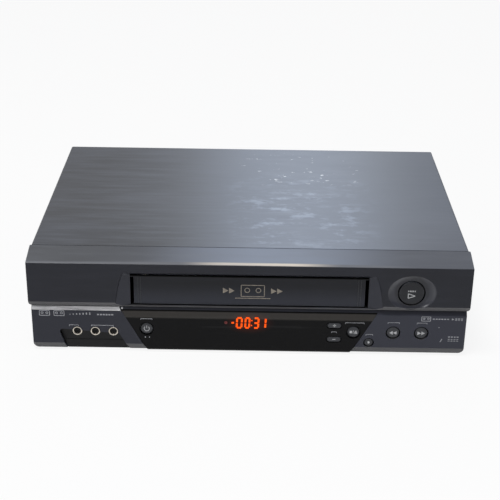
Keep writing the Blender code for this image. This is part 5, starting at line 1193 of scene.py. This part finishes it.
# %% Cover and screws
COVER_HALF, COVER_FOOT, COVER_TOP, SHEET = 0.1988, 0.0045, 0.0940, 0.0008
COVER_FRONT, COVER_BACK = 0.0253, 0.2830
SCREW_SEAT, SCREW_END = 0.19895, 0.1998
SCREW_LONG, SCREW_SHANK, SCREW_HEAD, SCREW_HOLE = 0.0045, 0.0015, 0.0035, 0.0018
inner, roof = COVER_HALF - SHEET, COVER_TOP - SHEET
fold = rounded([(-COVER_HALF, COVER_FOOT), (-COVER_HALF, COVER_TOP), (COVER_HALF, COVER_TOP),
                (COVER_HALF, COVER_FOOT), (inner, COVER_FOOT), (inner, roof), (-inner, roof),
                (-inner, COVER_FOOT)], [0, 0.0020, 0.0020, 0, 0, 0.0012, 0.0012, 0], 8)
cover = thing_from("folded_cover", bar(fold, COVER_FRONT, COVER_BACK))
for depth in (0.060, 0.250):
    hole = [(0, -0.3), (SCREW_HOLE, -0.3), (SCREW_HOLE, 0.3), (0, 0.3)]
    cut(cover, turned(hole, (0, behind(depth), 0.0260), "X", 24))
stand_in(cover, "top_cover", bevel=0.00022)

screw_profile = [(0, SCREW_SEAT - SCREW_LONG), (0.0012, SCREW_SEAT - SCREW_LONG),
                 (SCREW_SHANK, SCREW_SEAT - 0.0040), (SCREW_SHANK, SCREW_SEAT),
                 (SCREW_HEAD, SCREW_SEAT), (0.0034, SCREW_SEAT + 0.0004),
                 (0.0029, SCREW_END - 0.0001), (0.0020, SCREW_END), (0, SCREW_END)]
for number in range(1, 5):
    node = "cover_screw_%d" % number
    x, y, z = limits(node)
    side, middle, height = math.copysign(1, x[0]), sum(y) / 2, sum(z) / 2
    screw = thing_from("pan_screw_%d" % number, turned(screw_profile, (0, middle, height), "X", 32))
    if side < 0:
        screw.data.transform(Matrix.Diagonal((-1, 1, 1, 1)))
        screw.data.flip_normals()
    for turn in (20, 110):
        arm = block((-0.0005, 0.0005), (-0.0003, 0.0003), (-0.0017, 0.0017))
        place = Matrix.Translation((side * SCREW_END, middle, height))
        arm.transform(place @ Matrix.Rotation(math.radians(turn), 4, "X"))
        cut(screw, arm)
    stand_in(screw, node)
print("cover faces:", len(cover.data.polygons))

# %% [markdown]
# ## The back
#
# The back is a zinc-plated plate with a pressed ridge, seven vents, and holes for the sockets, the aerial
# connectors and the mains gland. The sockets carry the usual colours: yellow for the picture, white and red
# for the sound. The aerial connectors are threaded, which a profile with many small steps shows well.

# %% Rear panel
PLATE_THROUGH = (0.278, 0.285)
PLATE_FRONT, PLATE_BACK, BLOCK_BACK = 0.2810, 0.2820, 0.2807
REAR_SOCKET_HOLE, AERIAL_HOLE, GLAND_HOLE = 0.0047, 0.0049, 0.0058
PITCH = 0.015
REAR_SOCKETS = [(0.027 + PITCH * column, 0.030 + PITCH * row) for row in (0, 1) for column in range(3)]
AERIALS = [(0.126, 0.040), (0.154, 0.040)]
GLAND = (-0.160, 0.030)
plate_view = rounded(rectangle((-0.1977, 0.1977), (0.0038, 0.0929)), [0.0006, 0.0006, 0.0022, 0.0022], 5)
plate = thing_from("back_plate", bar(plate_view, PLATE_FRONT, PLATE_BACK))
for outline in path(rectangle((-0.1900, 0.1900), (0.0100, 0.0860)), 0.0016, True):
    join(plate, bar(outline, 0.2812, 0.2824))
for radius, places in ((REAR_SOCKET_HOLE, REAR_SOCKETS), (AERIAL_HOLE, AERIALS), (GLAND_HOLE, [GLAND])):
    for at in places:
        cut(plate, rod(at, radius, *PLATE_THROUGH, 32))
for step in range(7):
    x = -0.090 + 0.007 * step
    vent = rounded(rectangle((x - 0.0012, x + 0.0012), (0.050, 0.080)), 0.0011)
    cut(plate, bar(vent, *PLATE_THROUGH))
stand_in(plate, "rear_panel", bevel=0.00015, segments=1)

# %% Rear sockets, aerial connectors and gland
x, y, z = limits("rear_socket_block")
rear_block = thing_from("rear_block", block(x, (y[0], behind(BLOCK_BACK)), (z[0], 0.0540)))
stand_in(rear_block, "rear_socket_block", bevel=0.0005)
COLLARS = [moulded_plastic("collar_" + name, colour, 0.05) for name, colour in (
    ("yellow", (0.62, 0.42, 0.02)), ("white", (0.62, 0.61, 0.57)), ("red", (0.45, 0.015, 0.012)))]
rear_tube = [(0.0033, 0.2790), (0.0044, 0.2790), (0.0044, 0.2872), (0.0041, 0.2875), (0.0036, 0.2875),
             (0.0033, 0.2872)]
rear_core = [(0, 0.2800), (0.0032, 0.2800), (0.0032, 0.2862), (0.0015, 0.2862), (0.0015, 0.2815), (0, 0.2815)]
for number, at in enumerate(REAR_SOCKETS, 1):
    tube = thing_from("rear_tube_%d" % number, turned_at(at, rear_tube, 32, True))
    dress(tube, PLATING, slot="socket_metal")
    core = thing_from("rear_core_%d" % number, turned_at(at, rear_core, 28))
    dress(core, COLLARS[(number - 1) % 3], slot="black_plastic")

x, y, z = limits("tuner_unit")
can = thing_from("tuner_can", block(x, (y[0], behind(BLOCK_BACK)), (z[0], 0.0520)))
thread = [(0, 0.270), (0.0046, 0.270), (0.0046, 0.2825)]
for step in range(9):
    start = 0.2826 + 0.0008 * step
    thread += [(0.0041, start), (0.0045, start + 0.0004)]
thread += [(0.0041, 0.2900), (0.0024, 0.2900), (0.0022, 0.2840), (0.0006, 0.2840), (0.0006, 0.2830),
           (0, 0.2830)]
for at in AERIALS:
    join(can, turned_at(at, thread, 32))
stand_in(can, "tuner_unit", MACHINED, bevel=0.00012, segments=1)

collar = rounded([(0.0034, 0.2750), (0.0055, 0.2750), (0.0055, 0.2822), (0.0080, 0.2822), (0.0080, 0.2842),
                  (0.0034, 0.2842)], [0.0002, 0.0003, 0, 0.0004, 0.0008, 0.0005], 3)
stand_in(thing_from("mains_gland", turned_at(GLAND, collar, 40, True)), "cord_gland")
print("back pieces are in")

# %% [markdown]
# ## Underside
#
# The bottom plate has three rows of louvre slots. The rubber feet are turned, with a rounded sole.

# %% Bottom plate and feet
x, y, z = limits("bottom_cover")
bottom = thing_from("bottom_plate", prism(rounded(rectangle(x, y), 0.004), "Z", *z))
for row in range(3):
    for step in range(12):
        left, start = -0.088 + 0.016 * step, behind(0.090 + 0.055 * row)
        louvre = rounded(rectangle((left - 0.0011, left + 0.0011), (start, start + 0.030)), 0.001, 3)
        cut(bottom, prism(louvre, "Z", z[0] - MM, z[1] + MM))
stand_in(bottom, "bottom_cover", bevel=0.00012, segments=1)

PAD_RADIUS, PAD_TOP = 0.0095, 0.0024
pad = rounded([(0, -LIFT), (PAD_RADIUS, -LIFT), (PAD_RADIUS, PAD_TOP), (0, PAD_TOP)],
              [0, 0.0012, 0.0003, 0], 5)
for node in SLOT_OF:
    if node.startswith("foot_"):
        x, y, z = limits(node)
        stand_in(thing_from("pad_of_" + node, turned(pad, (sum(x) / 2, sum(y) / 2, 0), "Z", 48)), node)
print("underside is in")

# %% [markdown]
# ## Floor, light and world
#
# The recorder is shown on plain white, as in a catalogue. A pale floor keeps a soft shadow under it. Rays
# from the camera and mirror-like reflections see a lighter mix of the floor and the world, so the background
# is white while the light on the object stays at a plain level. A wide soft lamp above gives the top its
# light, and a lamp far behind is mirrored in the satin cover as a pale patch.

# %% Floor
FLOOR_HALF = 6.0


def white_for_viewer(tree, strength):
    """A share that is high for rays that see the background, and zero for rays that light the object."""
    rays = tree.nodes.new("ShaderNodeLightPath")
    seen = rays.outputs["Is Camera Ray"]
    for name in ("Is Glossy Ray", "Is Transmission Ray"):
        larger = tree.nodes.new("ShaderNodeMath")
        larger.operation = "MAXIMUM"
        tree.links.new(seen, larger.inputs[0])
        tree.links.new(rays.outputs[name], larger.inputs[1])
        seen = larger.outputs[0]
    scaled = tree.nodes.new("ShaderNodeMath")
    scaled.operation = "MULTIPLY"
    scaled.inputs[1].default_value = strength
    tree.links.new(seen, scaled.inputs[0])
    return scaled.outputs[0]


def mix_into(tree, output, share, first, second):
    """Mix two shaders by a share, and let the tree's output show the mix."""
    mix = tree.nodes.new("ShaderNodeMixShader")
    for socket, value in zip(mix.inputs, (share, first, second)):
        tree.links.new(value, socket)
    tree.links.new(mix.outputs[0], tree.nodes[output].inputs["Surface"])


floor_mesh = bpy.data.meshes.new("floor")
spread = (-FLOOR_HALF, FLOOR_HALF)
floor_mesh.from_pydata([(x, y, 0) for x, y in rectangle(spread, spread)], [], [(0, 1, 2, 3)])
floor = bpy.data.objects.new("floor", floor_mesh)
scene.collection.objects.link(floor)
floor_look = bpy.data.materials.new("floor_look")
floor_look.use_nodes = True
tree = floor_look.node_tree
floor_shader = tree.nodes["Principled BSDF"]
for socket, value in (("Base Color", (0.86, 0.86, 0.86, 1)), ("Roughness", 0.9), ("Specular IOR Level", 0.0)):
    floor_shader.inputs[socket].default_value = value
glow = tree.nodes.new("ShaderNodeEmission")
glow.inputs["Color"].default_value = (1, 1, 1, 1)
mix_into(tree, "Material Output", white_for_viewer(tree, 0.88), floor_shader.outputs[0], glow.outputs[0])
floor_mesh.materials.append(floor_look)


# %% Lamps and world
def lamp(name, place, target, size, power, colour=(1, 1, 1)):
    """A soft lamp at a place, turned towards a target."""
    light = bpy.data.lights.new(name, "AREA")
    light.shape = "RECTANGLE"
    light.size, light.size_y = size
    light.energy = power
    light.color = colour
    thing = bpy.data.objects.new(name, light)
    thing.location = place
    thing.rotation_euler = (Vector(target) - Vector(place)).to_track_quat("-Z", "Y").to_euler()
    scene.collection.objects.link(thing)


lamp("top_lamp", (-0.3, -0.5, 1.9), (0, 0, 0), (0.6, 0.35), 22)
lamp("front_lamp", (-0.66, -2.05, 0.78), (0, -0.1, 0.05), (0.36, 0.30), 5)
lamp("back_lamp", (0.16, 2.3, 1.75), (0.10, 0, 1.0), (0.50, 2.2), 10.5, (0.80, 0.89, 1.0))

world = bpy.data.worlds.new("studio")
world.use_nodes = True
scene.world = world
tree = world.node_tree
ambient = tree.nodes["Background"]
ambient.inputs["Color"].default_value = (0.32, 0.32, 0.33, 1)
bright = tree.nodes.new("ShaderNodeBackground")
bright.inputs["Color"].default_value = (1, 1, 1, 1)
rays = tree.nodes.new("ShaderNodeLightPath")
mix_into(tree, "World Output", rays.outputs["Is Camera Ray"], ambient.outputs[0], bright.outputs[0])
print("lamps and world are set")
